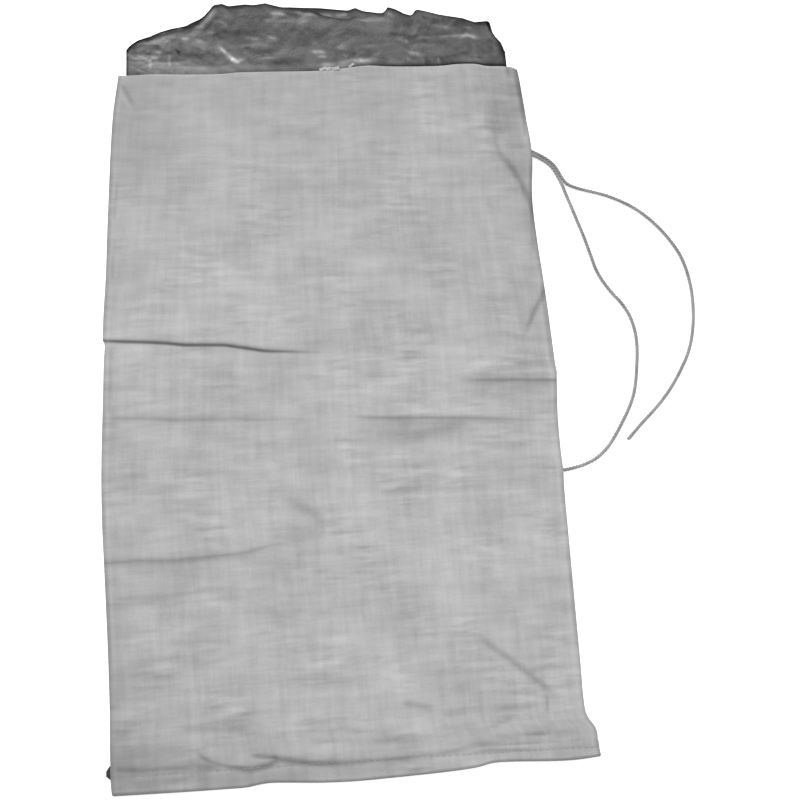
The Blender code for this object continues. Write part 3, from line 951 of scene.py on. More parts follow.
# Step of the left edge: where, how far in, and how far below it the edge is back out
LEFT_STEP_Y = 25.0
LEFT_STEP = 3.2
LEFT_STEP_LENGTH = 26
# Bulge of the right edge: where, how far out and how long
RIGHT_BULGE_Y = -43.0
RIGHT_BULGE = 1.6
RIGHT_BULGE_LENGTH = 7


def left_step(y):
    """How far the left edge steps in at the side lap."""
    gap = LEFT_STEP_Y - y
    return LEFT_STEP * smooth_step(gap / 2 + 0.5) * np.exp(-max(gap, 0) / LEFT_STEP_LENGTH)


def right_bulge(y):
    """How far the right edge bulges at the ridge."""
    return RIGHT_BULGE * sharp(RIGHT_BULGE_Y - y, RIGHT_BULGE_LENGTH)


def body_rings():
    rings = []
    for row in sack_rows():
        y_left, y_right = float(row(-300.0)), float(row(300.0))
        left = float(read_outline(LEFT_EDGE, y_left)) + left_step(y_left)
        right = float(read_outline(RIGHT_EDGE, y_right)) + right_bulge(y_right)
        rings.append(ring_points(SACK_LAYOUT, (left, right), lambda x, level, r=row: r(x) + 0 * x,
                                 lambda x, y: cloth_front(x, y)[0], underside))
    return rings


body = body_rings()
print("body:", len(body), "rings of", len(body[0]), "points")

# %% [markdown]
# The bottom is turned up to the back before it is sewn. So the rings go on round half a circle and
# back up under the body as the flap, which is cut off at its left corner and sags a little between
# the stitches.

# %% Rings of the hem
TURN_STEPS = 10
FLAP_STEPS = 8
FLAP_PAST_SEAM = 7.0
FLAP_CORNER_X = -290
FLAP_CORNER_CUT = 10.0
FLAP_CORNER_WIDTH = 14.0
FLAP_SAG = 0.35
HEM_Y = -538


def hem_edges(inset):
    """The hem's side edges, each moved in by an inset."""
    return float(read_outline(LEFT_EDGE, HEM_Y)) + inset, float(read_outline(RIGHT_EDGE, HEM_Y)) - inset


def turn_place(angle):
    """Y and Z of points on the turn, from their X and their offset from the hem's middle."""
    def place(x, offset):
        reach = TURN_RADIUS + offset
        return fold_start(x) - math.sin(angle) * reach, TURN_MIDDLE + math.cos(angle) * reach
    return place


def flap_end(x):
    corner = 1 - smooth_step((x - FLAP_CORNER_X) / FLAP_CORNER_WIDTH)
    return read_outline(SEAM, x) + FLAP_PAST_SEAM - FLAP_CORNER_CUT * corner


def flap_place(share, end_at):
    """The same for points on the flap, a share of the way to its end."""
    def place(x, offset):
        start = fold_start(x)
        sag = FLAP_SAG * soft_noise(x, x * 0, 18, 1.0, 8) * share
        return start + share * (end_at(x) - start), HEM_FLAP_MIDDLE - offset + sag
    return place


def hem_rings():
    share, level, out = SACK_LAYOUT
    left, right = hem_edges(0.0)
    x = left + HEM_HALF + share * (right - left - 2 * HEM_HALF)
    places = [turn_place(angle) for angle in np.linspace(0, math.pi, TURN_STEPS + 1)[1:]]
    places += [flap_place((k + 1) / FLAP_STEPS, flap_end) for k in range(FLAP_STEPS)]
    rings = []
    for place in places:
        y, z = place(x, level * HEM_HALF)
        rings.append(np.column_stack([x + out * HEM_HALF, y, z]))
    return rings


sack_grid = np.array(body + hem_rings())
print("sack grid:", sack_grid.shape[0], "rings of", sack_grid.shape[1], "points")

# %% [markdown]
# The weave follows the cloth, not the room, so every point also gets its place on the flat cloth:
# how far round the tube, and how far down from the mouth. The tapes wander by a millimetre or two,
# because a real loom never beats them quite straight.

# %% Place on the flat cloth
MOUTH_TOP = 435.0
TAPE_WANDER = 1.4


def flat_places(grid):
    """Distance round the tube and down from the mouth for each point, in millimetres."""
    middle = grid[len(grid) // 2]
    around = np.concatenate([[0], np.cumsum(np.linalg.norm(np.diff(middle, axis=0), axis=1))])
    down = MOUTH_TOP - grid[:, :, 1]
    for row in range(len(body), len(grid)):
        down[row] = down[row - 1] + np.linalg.norm(grid[row] - grid[row - 1], axis=1)
    x, y = grid[:, :, 0], grid[:, :, 1]
    u = around + TAPE_WANDER * soft_noise(x, y, 140, 200, 21)
    v = down + TAPE_WANDER * soft_noise(x, y, 120, 160, 22)
    return np.stack([u, v], axis=-1)


sack_uv = flat_places(sack_grid)
print("cloth:", round(float(sack_uv[..., 0].max())), "mm round and",
      round(float(sack_uv[..., 1].max())), "mm long")

# %% [markdown]
# ## The woven cloth's finish
# The cloth is woven from flat tapes about 2.6 mm wide, one over and one under. In a plain weave
# every other crossing shows the warp tape and the rest show the weft. A texture of a weave would
# repeat, so the pattern is worked out from the tapes' numbers. Each tape has its own tone, with
# slow changes along its length, and a flat top with sunk edges where it lies over the other.

# %% Tapes of the weave
TAPE_WIDTH = 2.6


def stretched_noise(tree, place, across, along):
    """Noise on the flat cloth, with its own number of cells for each metre across and along."""
    cells = add_node(tree, "ShaderNodeVectorMath", {0: place, 1: (across, along, 1.0)},
                     operation="MULTIPLY")
    return noise(tree, 1.0, 1.5, Vector=cells)


def tape_tone(tree, index, along, number):
    """A tape's own tone with slow changes along it, from 0 to 1."""
    own = add_node(tree, "ShaderNodeTexWhiteNoise", {"W": compute(tree, "ADD", index, number * 77.7)},
                   noise_dimensions="1D").outputs["Value"]
    place = xyz(tree, X=times(tree, index, 5.31), Y=times(tree, along, 42.0), Z=number)
    return weighted(tree, own, 0.22, noise(tree, 1.0, 2.0, Vector=place), 0.85)


def tape_profile(tree, across, along):
    """Height of a tape that lies on top: flat with sunk edges, highest in the middle of its cell."""
    off_middle = compute(tree, "ABSOLUTE", times_plus(tree, across, 2.0, -1.0))
    flat_top = compute(tree, "SUBTRACT", 1.0, compute(tree, "POWER", off_middle, 5.0))
    arch = compute(tree, "SINE", times(tree, along, math.pi))
    return times(tree, flat_top, times_plus(tree, arch, 0.6, 0.4))


def choose(tree, factor, first, second):
    """first where factor is 0, second where it is 1."""
    return add_node(tree, "ShaderNodeMix", {0: factor, 2: first, 3: second}, data_type="FLOAT")


def weave(tree, u, v):
    """Tone and height of a plain weave at a place on the flat cloth."""
    warp, weft = compute(tree, "DIVIDE", u, TAPE_WIDTH * MM), compute(tree, "DIVIDE", v, TAPE_WIDTH * MM)
    warp_number, weft_number = compute(tree, "FLOOR", warp), compute(tree, "FLOOR", weft)
    warp_across, weft_across = compute(tree, "FRACT", warp), compute(tree, "FRACT", weft)
    weft_shows = compute(tree, "FLOORED_MODULO", compute(tree, "ADD", warp_number, weft_number), 2.0)
    warp_tone, weft_tone = tape_tone(tree, warp_number, v, 1.0), tape_tone(tree, weft_number, u, 2.0)
    both = weighted(tree, warp_tone, 0.4, weft_tone, 0.6)
    tone = weighted(tree, choose(tree, weft_shows, warp_tone, weft_tone), 0.35, both, 0.65)
    relief = choose(tree, weft_shows, tape_profile(tree, warp_across, weft_across),
                    tape_profile(tree, weft_across, warp_across))
    return tone, relief


print("tapes to a metre:", round(1 / (TAPE_WIDTH * MM)))

# %% [markdown]
# Over the weave lie slower changes: clouds of dirt, bundles of tapes that are lighter or darker
# than others along and across the tube, and light and dark dashes in patches: uneven tapes with
# painted glints on their ridges. The painted shade of creases, folds and edges, with the stains,
# comes as an attribute of the points, so the material only has to multiply by it.

# %% Woven cloth finish
CLOTH_DARK = 0.27
CLOTH_LIGHT = 0.46
STREAK_WEIGHT = 0.04
CLOUD_WEIGHT = 0.38
# Noise on the flat cloth: cells for each metre across and along the panel, and its weight
CLOTH_LAYERS = [(15.0, 60.0, 0.26), (90.0, 14.0, 0.19), (240.0, 300.0, 0.08)]


def streaks_and_painted_glints(tree, uv, place):
    """Short light and dark dashes along the weft, in patches: uneven tapes with painted glints on their
    ridges.
    """
    patches = times_plus(tree, noise(tree, 14.0, 1.0, Vector=place), 5.0, -2.2)
    in_patches = times(tree, compute(tree, "MAXIMUM", patches, 0.0), 0.42)
    dashes = compute(tree, "SUBTRACT", stretched_noise(tree, uv, 21.0, 115.0), 0.5)
    return times(tree, dashes, in_patches)


def woven_material():
    material, tree, shader = start_material("woven_tape_cloth", 0.5)
    uv = add_node(tree, "ShaderNodeUVMap", uv_map="cloth")
    split = add_node(tree, "ShaderNodeSeparateXYZ", {0: uv})
    tone, relief = weave(tree, split.outputs["X"], split.outputs["Y"])
    place = add_node(tree, "ShaderNodeTexCoord").outputs["Object"]
    streak = stretched_noise(tree, uv, 60.0, 900.0)
    layers = [(noise(tree, 9.0, 3.0, Vector=place), CLOUD_WEIGHT), (streak, STREAK_WEIGHT)]
    layers += [(stretched_noise(tree, uv, across, along), weight) for across, along, weight in CLOTH_LAYERS]
    total = times_plus(tree, tone, 0.22, 0.39)
    for layer, weight in layers:
        total = times_plus(tree, compute(tree, "SUBTRACT", layer, 0.5), weight, total)
    total = compute(tree, "ADD", total, streaks_and_painted_glints(tree, uv, place))
    colour = grey_ramp(tree, total, 0.33, CLOTH_DARK, 0.67, CLOTH_LIGHT)
    shade = add_node(tree, "ShaderNodeAttribute", attribute_name="shade").outputs["Fac"]
    # Painted shade and light from the shade attribute, and a little painted shade on the tapes' sunk edges
    painted_shading = times(tree, shade, times_plus(tree, relief, 0.04, 0.97))
    height = times_plus(tree, streak, 0.25, relief)
    set_inputs(tree, shader, {"Base Color": scaled(tree, colour, painted_shading),
                              "Roughness": times_plus(tree, tone, 0.2, 0.38),
                              "Normal": bumps(tree, 0.2, 0.00018, height)})
    return material


cloth_finish = woven_material()
print("cloth finish with", len(cloth_finish.node_tree.nodes), "nodes")

# %% [markdown]
# ## Shade of the cloth
# Painted shade darkens cloth that lies in a fold more than the height of its crease gives, and the
# main folds also get a painted shadow on their lower side. The main folds say how dark they are.
# Soft patches hold painted shade and light and some soiling, some of them lighter than the rest.

# %% Fold shade and patches
# Painted shade of a fold: along its line, as a painted shadow on the side below it, and how far that
# reaches
FOLD_SHADE = {
    "side lap": (0.32, 0.16, 7),
    "middle fold, left": (0.02, 0.17, 9),
    "middle fold, right": (0.06, 0.28, 10),
    "edge valley": (0.06, 0.33, 11),
    "lower fold": (0.04, 0.24, 12),
    "lower fold, second": (0.0, 0.10, 8),
    "hem valley": (0.0, 0.12, 12),
    "hem valley, left": (0.0, 0.06, 10),
    "hem valley, right": (0.0, 0.06, 10),
}
# Patches of painted shade and light, and of soiling, on the cloth: middle, half width, half height, and how
# much lighter
SHADE_AND_STAIN_PATCHES = [
    (60, 280, 460, 180, -0.09), (-90, 420, 330, 90, -0.19), (-290, 290, 70, 150, -0.15),
    (-230, 400, 60, 50, -0.07), (-60, -200, 90, 60, 0.08), (60, -250, 420, 160, 0.03),
    (-302, -390, 36, 150, -0.19), (-250, -500, 110, 50, -0.11), (-265, -508, 70, 34, -0.15),
    (-130, -534, 190, 13, -0.14), (262, 360, 28, 34, -0.07), (276, 316, 20, 38, -0.20),
    (297, 390, 8, 50, -0.24), (-285, -400, 50, 130, -0.05), (300, 190, 12, 60, -0.33),
    (56, -502, 60, 6, -0.05), (170, -108, 50, 9, -0.05), (-270, -42, 34, 4, -0.06),
    (-195, -88, 62, 6, -0.05), (-225, -492, 50, 6, -0.08), (-125, -507, 30, 4, -0.05),
    (80, -464, 24, 5, -0.06), (280, -108, 40, 35, -0.05), (150, -385, 60, 50, 0.08),
    (-190, 300, 110, 70, -0.06), (-150, -480, 45, 16, 0.07), (-160, -534, 30, 8, -0.08),
    (-75, -530, 25, 10, -0.08), (291, 422, 9, 9, -0.24), (299, 398, 5, 38, -0.20),
    (282, 424, 4, 10, -0.22),
]

# The patches are painted shade and light as well as soiling
print(len(FOLD_SHADE), "folds with a shade and", len(SHADE_AND_STAIN_PATCHES), "soiled or worn places")

# %% [markdown]
# Each point then gets its share of light, painted into the colour: painted shade in creases, below
# the main folds, along the side folds and at the bottom fold, and a painted highlight along the
# mouth's cut edge.

# %% Shade of the cloth
LINE_SHADE_WIDTH = 2.6
# Painted shade in creases and pulls, for their depth
SHADE_PER_DEPTH = 0.3
# Painted shade in the seam's groove
SEAM_SHADE = 0.35
# Along each side fold lie a painted dark line and a painted light one: how far in, half width and how much
# darker
SIDE_LINES = [(3.5, 1.6, 0.2), (7.5, 1.6, -0.1)]
# Half width and gain of the soft bands of painted shade along the side folds, of a painted
# highlight along the mouth's cut edge, and of painted shade along the bottom fold
SIDE_BAND = (2.4, -0.34)
MOUTH_BAND = (2.5, 0.14)
BOTTOM_BAND = (2.4, -0.5)


def band(gap, middle, width, gain):
    """Factor of a soft band: 1 + gain in its middle and 1 away from it."""
    return 1 + gain * bell(gap - middle, width)


def blotches(x, y, places):
    """Sum of soft patches, each given by its middle, half width, half height and gain."""
    return sum(gain * np.exp(-((x - cx) / rx) ** 2 - ((y - cy) / ry) ** 2)
               for cx, cy, rx, ry, gain in places)


def fold_shade(x, y):
    """Share of light that the painted shade in the folds and the painted shadow below them leave."""
    left = np.ones(np.shape(x))
    for name, (line_dark, below_dark, reach) in FOLD_SHADE.items():
        line, *_, fade_in, fade_out = CREASES[name]
        gap, share = along_line(x, y, line)
        # Painted shadow on the side below the fold, fading as it reaches down
        below = smooth_step(-gap / 1.5 + 0.3) * np.exp(-np.maximum(-gap, 0) / reach)
        dark = line_dark * bell(gap, LINE_SHADE_WIDTH) + below_dark * below
        left = left * (1 - fade(share, fade_in, fade_out) * dark)
    return left


def cloth_shade(x, y):
    """Share of light that each point of the sack keeps, as painted shade and light, with its stains."""
    depth = crease_height(x, y)[1] + SEAM_SHADE * bell(y - read_outline(SEAM, x), 2.5)
    front = SACK_LAYOUT[1][None, :] > 0.3
    shade = np.where(front, np.exp(-SHADE_PER_DEPTH * depth) * fold_shade(x, y), 1.0)
    inward = inside_edge(x, y)
    # Painted shade and light along the side folds, stronger in some places than in others
    painted_shading = 0.5 + 0.5 * soft_noise(x * 0, y, 1.0, 42, 24)
    side_lines = sum(dark * bell(inward - middle, width) for middle, width, dark in SIDE_LINES)
    shade = shade * band(inward, 0, *SIDE_BAND) * (1 - painted_shading * side_lines)
    # Painted highlight along the mouth's cut edge
    shade = shade * band(read_outline(MOUTH, x) - y, 0, *MOUTH_BAND)
    # Painted shade along the bottom fold
    shade = shade * band(y - read_outline(BOTTOM, x), 0, *BOTTOM_BAND)
    return shade * (1 + blotches(x, y, SHADE_AND_STAIN_PATCHES))


sack_shade = cloth_shade(sack_grid[:, :, 0], sack_grid[:, :, 1])
print("cloth shade from", round(float(sack_shade.min()), 2), "to", round(float(sack_shade.max()), 2))

# %% [markdown]
# The sack is one closed sheet. Its inner wall is hidden, so inside the body it keeps only every
# seventh row, or every second one where the cord lifts the back panel.

# %% Make the sack
CLOTH_WALL = 0.45
KEEP_EVERY = 7
KEEP_WHERE_LIFTED = 2
LIFTED = 0.3


def kept_rows():
    """Rows of the sack that its inner wall keeps."""
    keep = [0, 1, 2, 4]
    for row in range(6, len(body) - 4):
        back = sack_grid[row - 3:row + 4, SACK_LAYOUT[1] < 0, 2]
        every = KEEP_WHERE_LIFTED if np.ptp(back, axis=0).max() > LIFTED else KEEP_EVERY
        if row - keep[-1] >= every:
            keep.append(row)
    return keep + list(range(len(body) - 2, len(sack_grid)))


def make_sack():
    keep = kept_rows()
    wall = inner_wall(sack_grid, CLOTH_WALL, keep, SACK_LAYOUT[1])
    piece = add_shell("woven_sack_cloth", (sack_grid, sack_uv, sack_shade),
                      (wall, sack_uv[keep], sack_shade[keep]), cloth_finish)
    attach(piece, "root")
    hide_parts("woven_sack")
    return piece


sack = make_sack()

# %% [markdown]
# ## The film liner
# The liner is a tube of thin dark film, open at the top like the sack. It shows where it stands
# out of the mouth: two layers, crumpled and shiny, with the front one a finger's width short.
# Crumpled film is made of flat facets between short sharp ridges, so smooth noise would look like
# rubber. Here a few hundred short ridges are thrown at random, each one sharp across and fading
# along its length.

# %% Crumpled film
LINER_LEFT = -273.0
LINER_RIGHT = 281.0
LINER_RIM = [(-274, 450), (-273, 467), (-267, 475), (-256, 483), (-239, 489), (-225, 496), (-208, 502),
             (-188, 506), (-180, 511), (-168, 517), (-161, 523), (-154, 532), (-148, 541), (-135, 543.5),
             (-126, 539), (-102, 542), (-88, 541), (-72, 544), (-48, 537), (8, 535), (50, 530.5),
             (61, 535), (72, 529.5), (98, 525.5), (104, 527), (110, 536.5), (122, 532), (134, 524.5),
             (145, 521), (152, 532), (163, 529.5), (187, 522.5), (222, 516), (239, 509), (259, 511),
             (262.5, 509), (263.5, 496), (267, 486), (277, 472), (280, 461), (281, 442)]
RIDGES = 340
# How much shorter the front layer is everywhere, and round two places: X, half width, how much more
FRONT_SHORT = 3.4
SHORT_MIDDLE = (40, 38, 13.0)
SHORT_LEFT = (-215, 45, 4.0)
# Its rim is uneven too: width of a cell, and how much
SHORT_UNEVEN = (21, 1.4)


def crumple(x, y, seed):
    """Height of crumpled film: many short ridges and valleys, sharp across their line."""
    rng = np.random.default_rng(seed)
    total = np.zeros(np.shape(x))
    for _ in range(RIDGES):
        cx, cy = rng.uniform(-285, 290), rng.uniform(415, 550)
        angle = rng.normal(0, 0.6) + (rng.random() < 0.25) * math.pi / 2
        length = rng.uniform(7, 32)
        width = length * rng.uniform(0.08, 0.2)
        rise = rng.choice([-1, 1]) * rng.uniform(0.03, 0.18) * width
        dx, dy = x - cx, y - cy
        run = dx * math.cos(angle) + dy * math.sin(angle)
        gap = -dx * math.sin(angle) + dy * math.cos(angle)
        total += rise * sharp(gap, width) * bell(run, length)
    return total


def film_rim(x):
    """The rim's cut edge, straight from corner to corner as film tears and folds."""
    corners = np.array(LINER_RIM, float)
    return np.interp(x, corners[:, 0], corners[:, 1])


def front_short(x):
    """How far the front layer ends before the back one: cut together, they have slipped apart."""
    at, half_width, more = SHORT_MIDDLE
    short = FRONT_SHORT + more * np.exp(-((x - at) / half_width) ** 4)
    at, half_width, more = SHORT_LEFT
    short = short + more * bell(x - at, half_width)
    cell, more = SHORT_UNEVEN
    return short + more * soft_noise(x, x * 0, cell, 1.0, 43)


print("the front layer is", round(float(front_short(40.0)), 1), "mm short in the middle")

# %% [markdown]
# Inside the sack the film is pressed between the panels. Past the mouth each layer is free: the back
# one lies on the floor, the front one is puffed up a little and comes down to it at the sides and
# the rim. Both rims curl up, as cut film does.

# %% Film heights
FILM_DEPTH = 0.9
FILM_PRESSED = 1.5
FILM_PUFF = 5.6
RIM_DROP = 2.0
SIDE_DROP = 1.5
SIDE_WIDTH = 30
RIM_CURL = 1.2
RIM_CURL_WIDTH = 3.0
# Under the mouth the front layer comes up to the front panel: from this Y on, over this length
COMES_UP = (385, 30)
# The back layer past the mouth: its height, its least height and its share of the crumpling
BACK_HEIGHT = 1.2
BACK_LEAST = 0.35
BACK_CRUMPLE = 0.35
LAYER_GAP = 0.8
# Where the film starts to be free, before the mouth's edge, and how far on it is wholly free
FREE_BEFORE = 6
FREE_LENGTH = 22


def past_mouth(x, y):
    """0 inside the sack and 1 where the film is free."""
    return smooth_step((y - read_outline(MOUTH, x) + FREE_BEFORE) / FREE_LENGTH)


def film_out(x, y):
    """How far out of the mouth a point of the film lies: 0 at the sack's edge, 1 at the rim."""
    mouth = read_outline(MOUTH, x)
    return np.clip((y - mouth) / (film_rim(x) - mouth), 0, 1)


def film_back(x, y):
    """Height of the back layer: on the back panel inside the sack, near the floor outside."""
    inside = underside(x, y) + FILM_DEPTH
    rim = np.exp(-np.maximum(film_rim(x) - y, 0) / RIM_CURL_WIDTH)
    loose = BACK_HEIGHT + BACK_CRUMPLE * np.maximum(crumple(x, y, 32), -2.0) + RIM_CURL * rim
    out = past_mouth(x, y)
    return inside * (1 - out) + np.maximum(loose, BACK_LEAST) * out


def film_front(x, y):
    """Height of the front layer: pressed by the front panel inside the sack, puffed up outside."""
    low = underside(x, y)
    pressed = low + FILM_PRESSED + 0.35 * (resting_front(x, y) - low - 2 * HEM_HALF)
    near_mouth = smooth_step((y - COMES_UP[0]) / COMES_UP[1])
    inside = pressed + near_mouth * (cloth_front(x, y)[0] - FILM_DEPTH - pressed)
    edge = 1 - smooth_step(np.minimum(x - LINER_LEFT, LINER_RIGHT - x) / SIDE_WIDTH)
    loose = FILM_PUFF - RIM_DROP * film_out(x, y) - SIDE_DROP * edge + crumple(x, y, 31) * (1 - 0.6 * edge)
    rim = np.exp(-(film_rim(x) - front_short(x) - y) / RIM_CURL_WIDTH)
    loose = loose + 0.7 * RIM_CURL * np.minimum(rim, 1)
    out = past_mouth(x, y)
    return np.maximum(inside * (1 - out) + loose * out, film_back(x, y) + LAYER_GAP)


print("film at the mouth:", round(float(film_front(np.array([0.0]), np.array([440.0]))[0]), 1), "mm up")

# %% [markdown]
# The film's grid has close rows where it shows and far ones inside the sack, where only the lifts of
# the hem and the cord have to be followed.

# %% Rows of the film
FILM_LAYOUT = ring_layout(190, 150, 6)
FILM_VISIBLE_ROWS = 52
FIRST_HIDDEN = 16
FILM_HIDDEN_YS = [404, 380, 352, 334, 320, 307, 292, 278, 266, 254, 240, 190, 140, 95, 50, 0, -50, -100,
                  -140, -158, -174, -188, -205, -240, -290, -340, -400, -437, -480, -505]
LINER_SIDE_GAP = 8.0
SIDE_CHANGE_LENGTH = 100


def hidden_edges(y):
    """The film's side edges inside the sack, a gap in from the sack's own further down."""
    down = smooth_step((FILM_HIDDEN_YS[0] - y) / SIDE_CHANGE_LENGTH)
    left = LINER_LEFT + (float(read_outline(LEFT_EDGE, y)) + LINER_SIDE_GAP - LINER_LEFT) * down
    right = LINER_RIGHT + (float(read_outline(RIGHT_EDGE, y)) - LINER_SIDE_GAP - LINER_RIGHT) * down
    return left, right


def film_rings():
    """Rings from the rim down to the start of the turn at the bottom."""
    rings = []
    for share in np.linspace(1, 0, FILM_VISIBLE_ROWS):
        def y_at(x, level, s=share):
            rim = film_rim(x) - front_short(x) * (1 + level) / 2
            start = read_outline(MOUTH, x) - FIRST_HIDDEN
            return start + s * (rim - start)
        rings.append(ring_points(FILM_LAYOUT, (LINER_LEFT, LINER_RIGHT), y_at, film_front, film_back))
    for y in FILM_HIDDEN_YS:
        rings.append(ring_points(FILM_LAYOUT, hidden_edges(y), lambda x, level, at=y: at + 0 * x,
                                 film_front, film_back))
    rings.append(ring_points(FILM_LAYOUT, hidden_edges(FILM_HIDDEN_YS[-1]),
                             lambda x, level: fold_start(x), film_front, film_back))
    return rings


film_body = film_rings()
print("film:", len(film_body), "rings of", len(film_body[0]), "points")

# %% [markdown]
# The film goes round the hem with the cloth. It is a little longer than the flap, and one corner of
# it peeps out of the turned-up bottom.

# %% Film round the hem
LINER_TURN_STEPS = 6
LINER_PAST_FLAP = 7.0
LINER_CORNER_OUT = 17.5
LINER_CORNER_WIDTH = 56.0
# Rings on the flap: how far along it, and how far the corner peeps out there
FLAP_SHARES = [0.35, 0.5, 0.62, 0.82, 1.0]
CORNER_SHAPE = [0.0, 0.7, 1.0, 1.0, 0.75]


def liner_hem_rings():
    """The film's own turn round the hem, thinner than the cloth's, with a corner that peeps out."""
    share, level, out = FILM_LAYOUT
    half = HEM_HALF - FILM_DEPTH
    left, right = hem_edges(LINER_SIDE_GAP)
    base = left + half + share * (right - left - 2 * half)
    corner = LINER_CORNER_OUT * (1 - smooth_step((base - FLAP_CORNER_X) / LINER_CORNER_WIDTH))
    places = [turn_place(angle) for angle in np.linspace(0, math.pi, LINER_TURN_STEPS + 1)[1:]]
    shapes = [0.0] * len(places) + CORNER_SHAPE
    places += [flap_place(s, lambda x: flap_end(x) + LINER_PAST_FLAP) for s in FLAP_SHARES]
    rings = []
    for place, shape in zip(places, shapes):
        y, z = place(base, level * half)
        rings.append(np.column_stack([base + out * half - corner * shape, y, z]))
    return rings


film_grid = np.array(film_body + liner_hem_rings())
print("film grid:", film_grid.shape[0], "rings of", film_grid.shape[1], "points")

# %% [markdown]
# The film is polyethylene with black filler: a dark, even colour under a clear shine. What makes
# it read as film is the reflection on its facets, so the finish is mostly roughness, a little
# haze in the colour, and very fine wrinkles as bump between the modelled ridges.

# %% Film finish
FILM_DARK = 0.03
FILM_LIGHT = 0.062
FILM_GLOSS = 0.35


def film_material():
    material, tree, shader = start_material("dark_film", 0.3)
    place = add_node(tree, "ShaderNodeTexCoord").outputs["Object"]
    haze = noise(tree, 28.0, 5.0, Vector=place)
    cells = add_node(tree, "ShaderNodeTexVoronoi", {"Vector": place, "Scale": 150.0},
                     feature="DISTANCE_TO_EDGE").outputs["Distance"]
    wrinkle = noise(tree, 240.0, 3.0, Vector=place, Distortion=1.2)
    edge = compute(tree, "MINIMUM", times(tree, cells, 3.0), 1.0)
    height = weighted(tree, wrinkle, 0.6, edge, 0.5)
    # The shade attribute is painted shade and highlights: it scales the colour and dims the shine
    shade = add_node(tree, "ShaderNodeAttribute", attribute_name="shade").outputs["Fac"]
    colour = grey_ramp(tree, haze, 0.36, FILM_DARK, 0.68, FILM_LIGHT)
    gloss = times(tree, compute(tree, "MINIMUM", shade, 1.0), FILM_GLOSS)
    set_inputs(tree, shader, {"Base Color": scaled(tree, colour, shade), "Specular IOR Level": gloss,
                              "Roughness": times_plus(tree, haze, 0.3, 0.27),
                              "Normal": bumps(tree, 0.22, 0.0005, height)})
    return material


film_finish = film_material()
print("film finish with", len(film_finish.node_tree.nodes), "nodes")

# %% [markdown]
# Highlights on the film's creases are painted into its colour. The clearest painted highlights are
# lines with places of their own, two of them painted dark, and many small ones, some darker, are
# thrown at random, crowded towards the left end.

# %% Painted highlights of the film
# Points, half width and how much lighter; a negative gain paints a dark mark
PAINTED_HIGHLIGHT_LINES = [
    ([(-66, 527), (-43, 523)], 2.0, 2.4), ([(-32, 528), (-17, 525), (4, 522)], 1.8, 2.0),
    ([(10, 523), (24, 523)], 2.0, 2.8), ([(34, 522), (50, 526)], 2.2, 3.4),
    ([(52, 513), (85, 511)], 1.4, 0.8), ([(103, 533), (114, 521), (120, 522)], 3.2, 1.3),
    ([(-139, 534), (-128, 530)], 2.5, 0.6), ([(-194, 485), (-184, 483)], 2.6, 1.7),
    ([(-174, 481), (-164, 476)], 2.6, 1.3), ([(-141, 470), (-128, 456), (-117, 445)], 2.2, 3.6),
    ([(-126, 450), (-117, 444), (-106, 447)], 3.0, 4.2), ([(-99, 483), (-84, 482)], 2.0, 1.5),
    ([(-67, 484), (-56, 482)], 2.4, 1.7), ([(-94, 449), (-60, 450)], 1.5, 0.9),
    ([(-6, 459), (12, 459)], 2.6, 2.2), ([(0, 451), (15, 451)], 2.2, 1.2),
    ([(6, 436), (24, 437)], 2.8, 2.2), ([(45, 456), (42, 446), (36, 437)], 2.2, 1.4),
    ([(50, 444), (76, 444)], 3.2, 3.4), ([(125, 477), (136, 475)], 2.6, 1.7),
    ([(136, 455), (152, 455)], 3.0, 1.2), ([(141, 475), (155, 481), (200, 484), (238, 487)], 2.4, 0.8),
    ([(212, 482), (225, 487), (242, 480)], 3.4, 1.9), ([(222, 500), (237, 498)], 1.6, 0.8),
    ([(261, 511), (262, 496)], 3.4, -0.9), ([(214, 447), (258, 446)], 1.4, -0.3),
    ([(130, 461), (152, 451), (166, 458)], 2.6, 0.6), ([(-147, 530), (-159, 513), (-173, 499)], 3.2, 1.6),
    ([(-256, 466), (-228, 481), (-196, 493)], 3.6, 1.0),
    ([(-270, 458), (-262, 452), (-240, 452), (-208, 454)], 2.6, 1.3),
    ([(-232, 462), (-224, 460)], 2.0, 1.3), ([(-262, 446), (-214, 443)], 6.0, 0.9),
    ([(-212, 456), (-212, 437)], 1.8, 1.2), ([(-239, 452), (-238, 440)], 1.8, 0.9),
    ([(-205, 438), (-150, 431)], 4.0, 0.7), ([(256, 494), (266, 474), (264, 444)], 5.0, 0.5),
    ([(60, 517), (95, 514), (124, 514)], 3.6, 0.9), ([(170, 503), (215, 497)], 2.5, 0.6),
]
GLINTS = 110


def stray_glints():
    """Small painted highlights at random places of the film, some of them painted darker."""
    rng = np.random.default_rng(51)
    glints = []
    for _ in range(GLINTS):
        in_left_patch = rng.random() < 0.45
        x = rng.uniform(-268, -190) if in_left_patch else rng.uniform(-265, 265)
        y = rng.uniform(434, 530)
        angle = rng.normal(0, 0.5) + (rng.random() < 0.3) * math.pi / 2
        half = rng.uniform(2, 8)
        dx, dy = half * math.cos(angle), half * math.sin(angle)
        width = rng.uniform(1.2, 2.2)
        gain = rng.uniform(-0.25, 0.6) * (1.6 if in_left_patch else 1.0)
        glints.append(([(x - dx, y - dy), (x + dx, y + dy)], width, gain))
    return glints


# Painted highlights, with a few painted dark marks
highlight_marks = PAINTED_HIGHLIGHT_LINES + stray_glints()
print(len(highlight_marks), "white folds")

# %% [markdown]
# The rest of the film's painted shade and light is made of soft bands and patches: painted shade
# along the curled rims, the left fold and where the sack's mouth edge shadows the film, and painted
# light just inside the rim. A grain of three sizes keeps any part from being even.

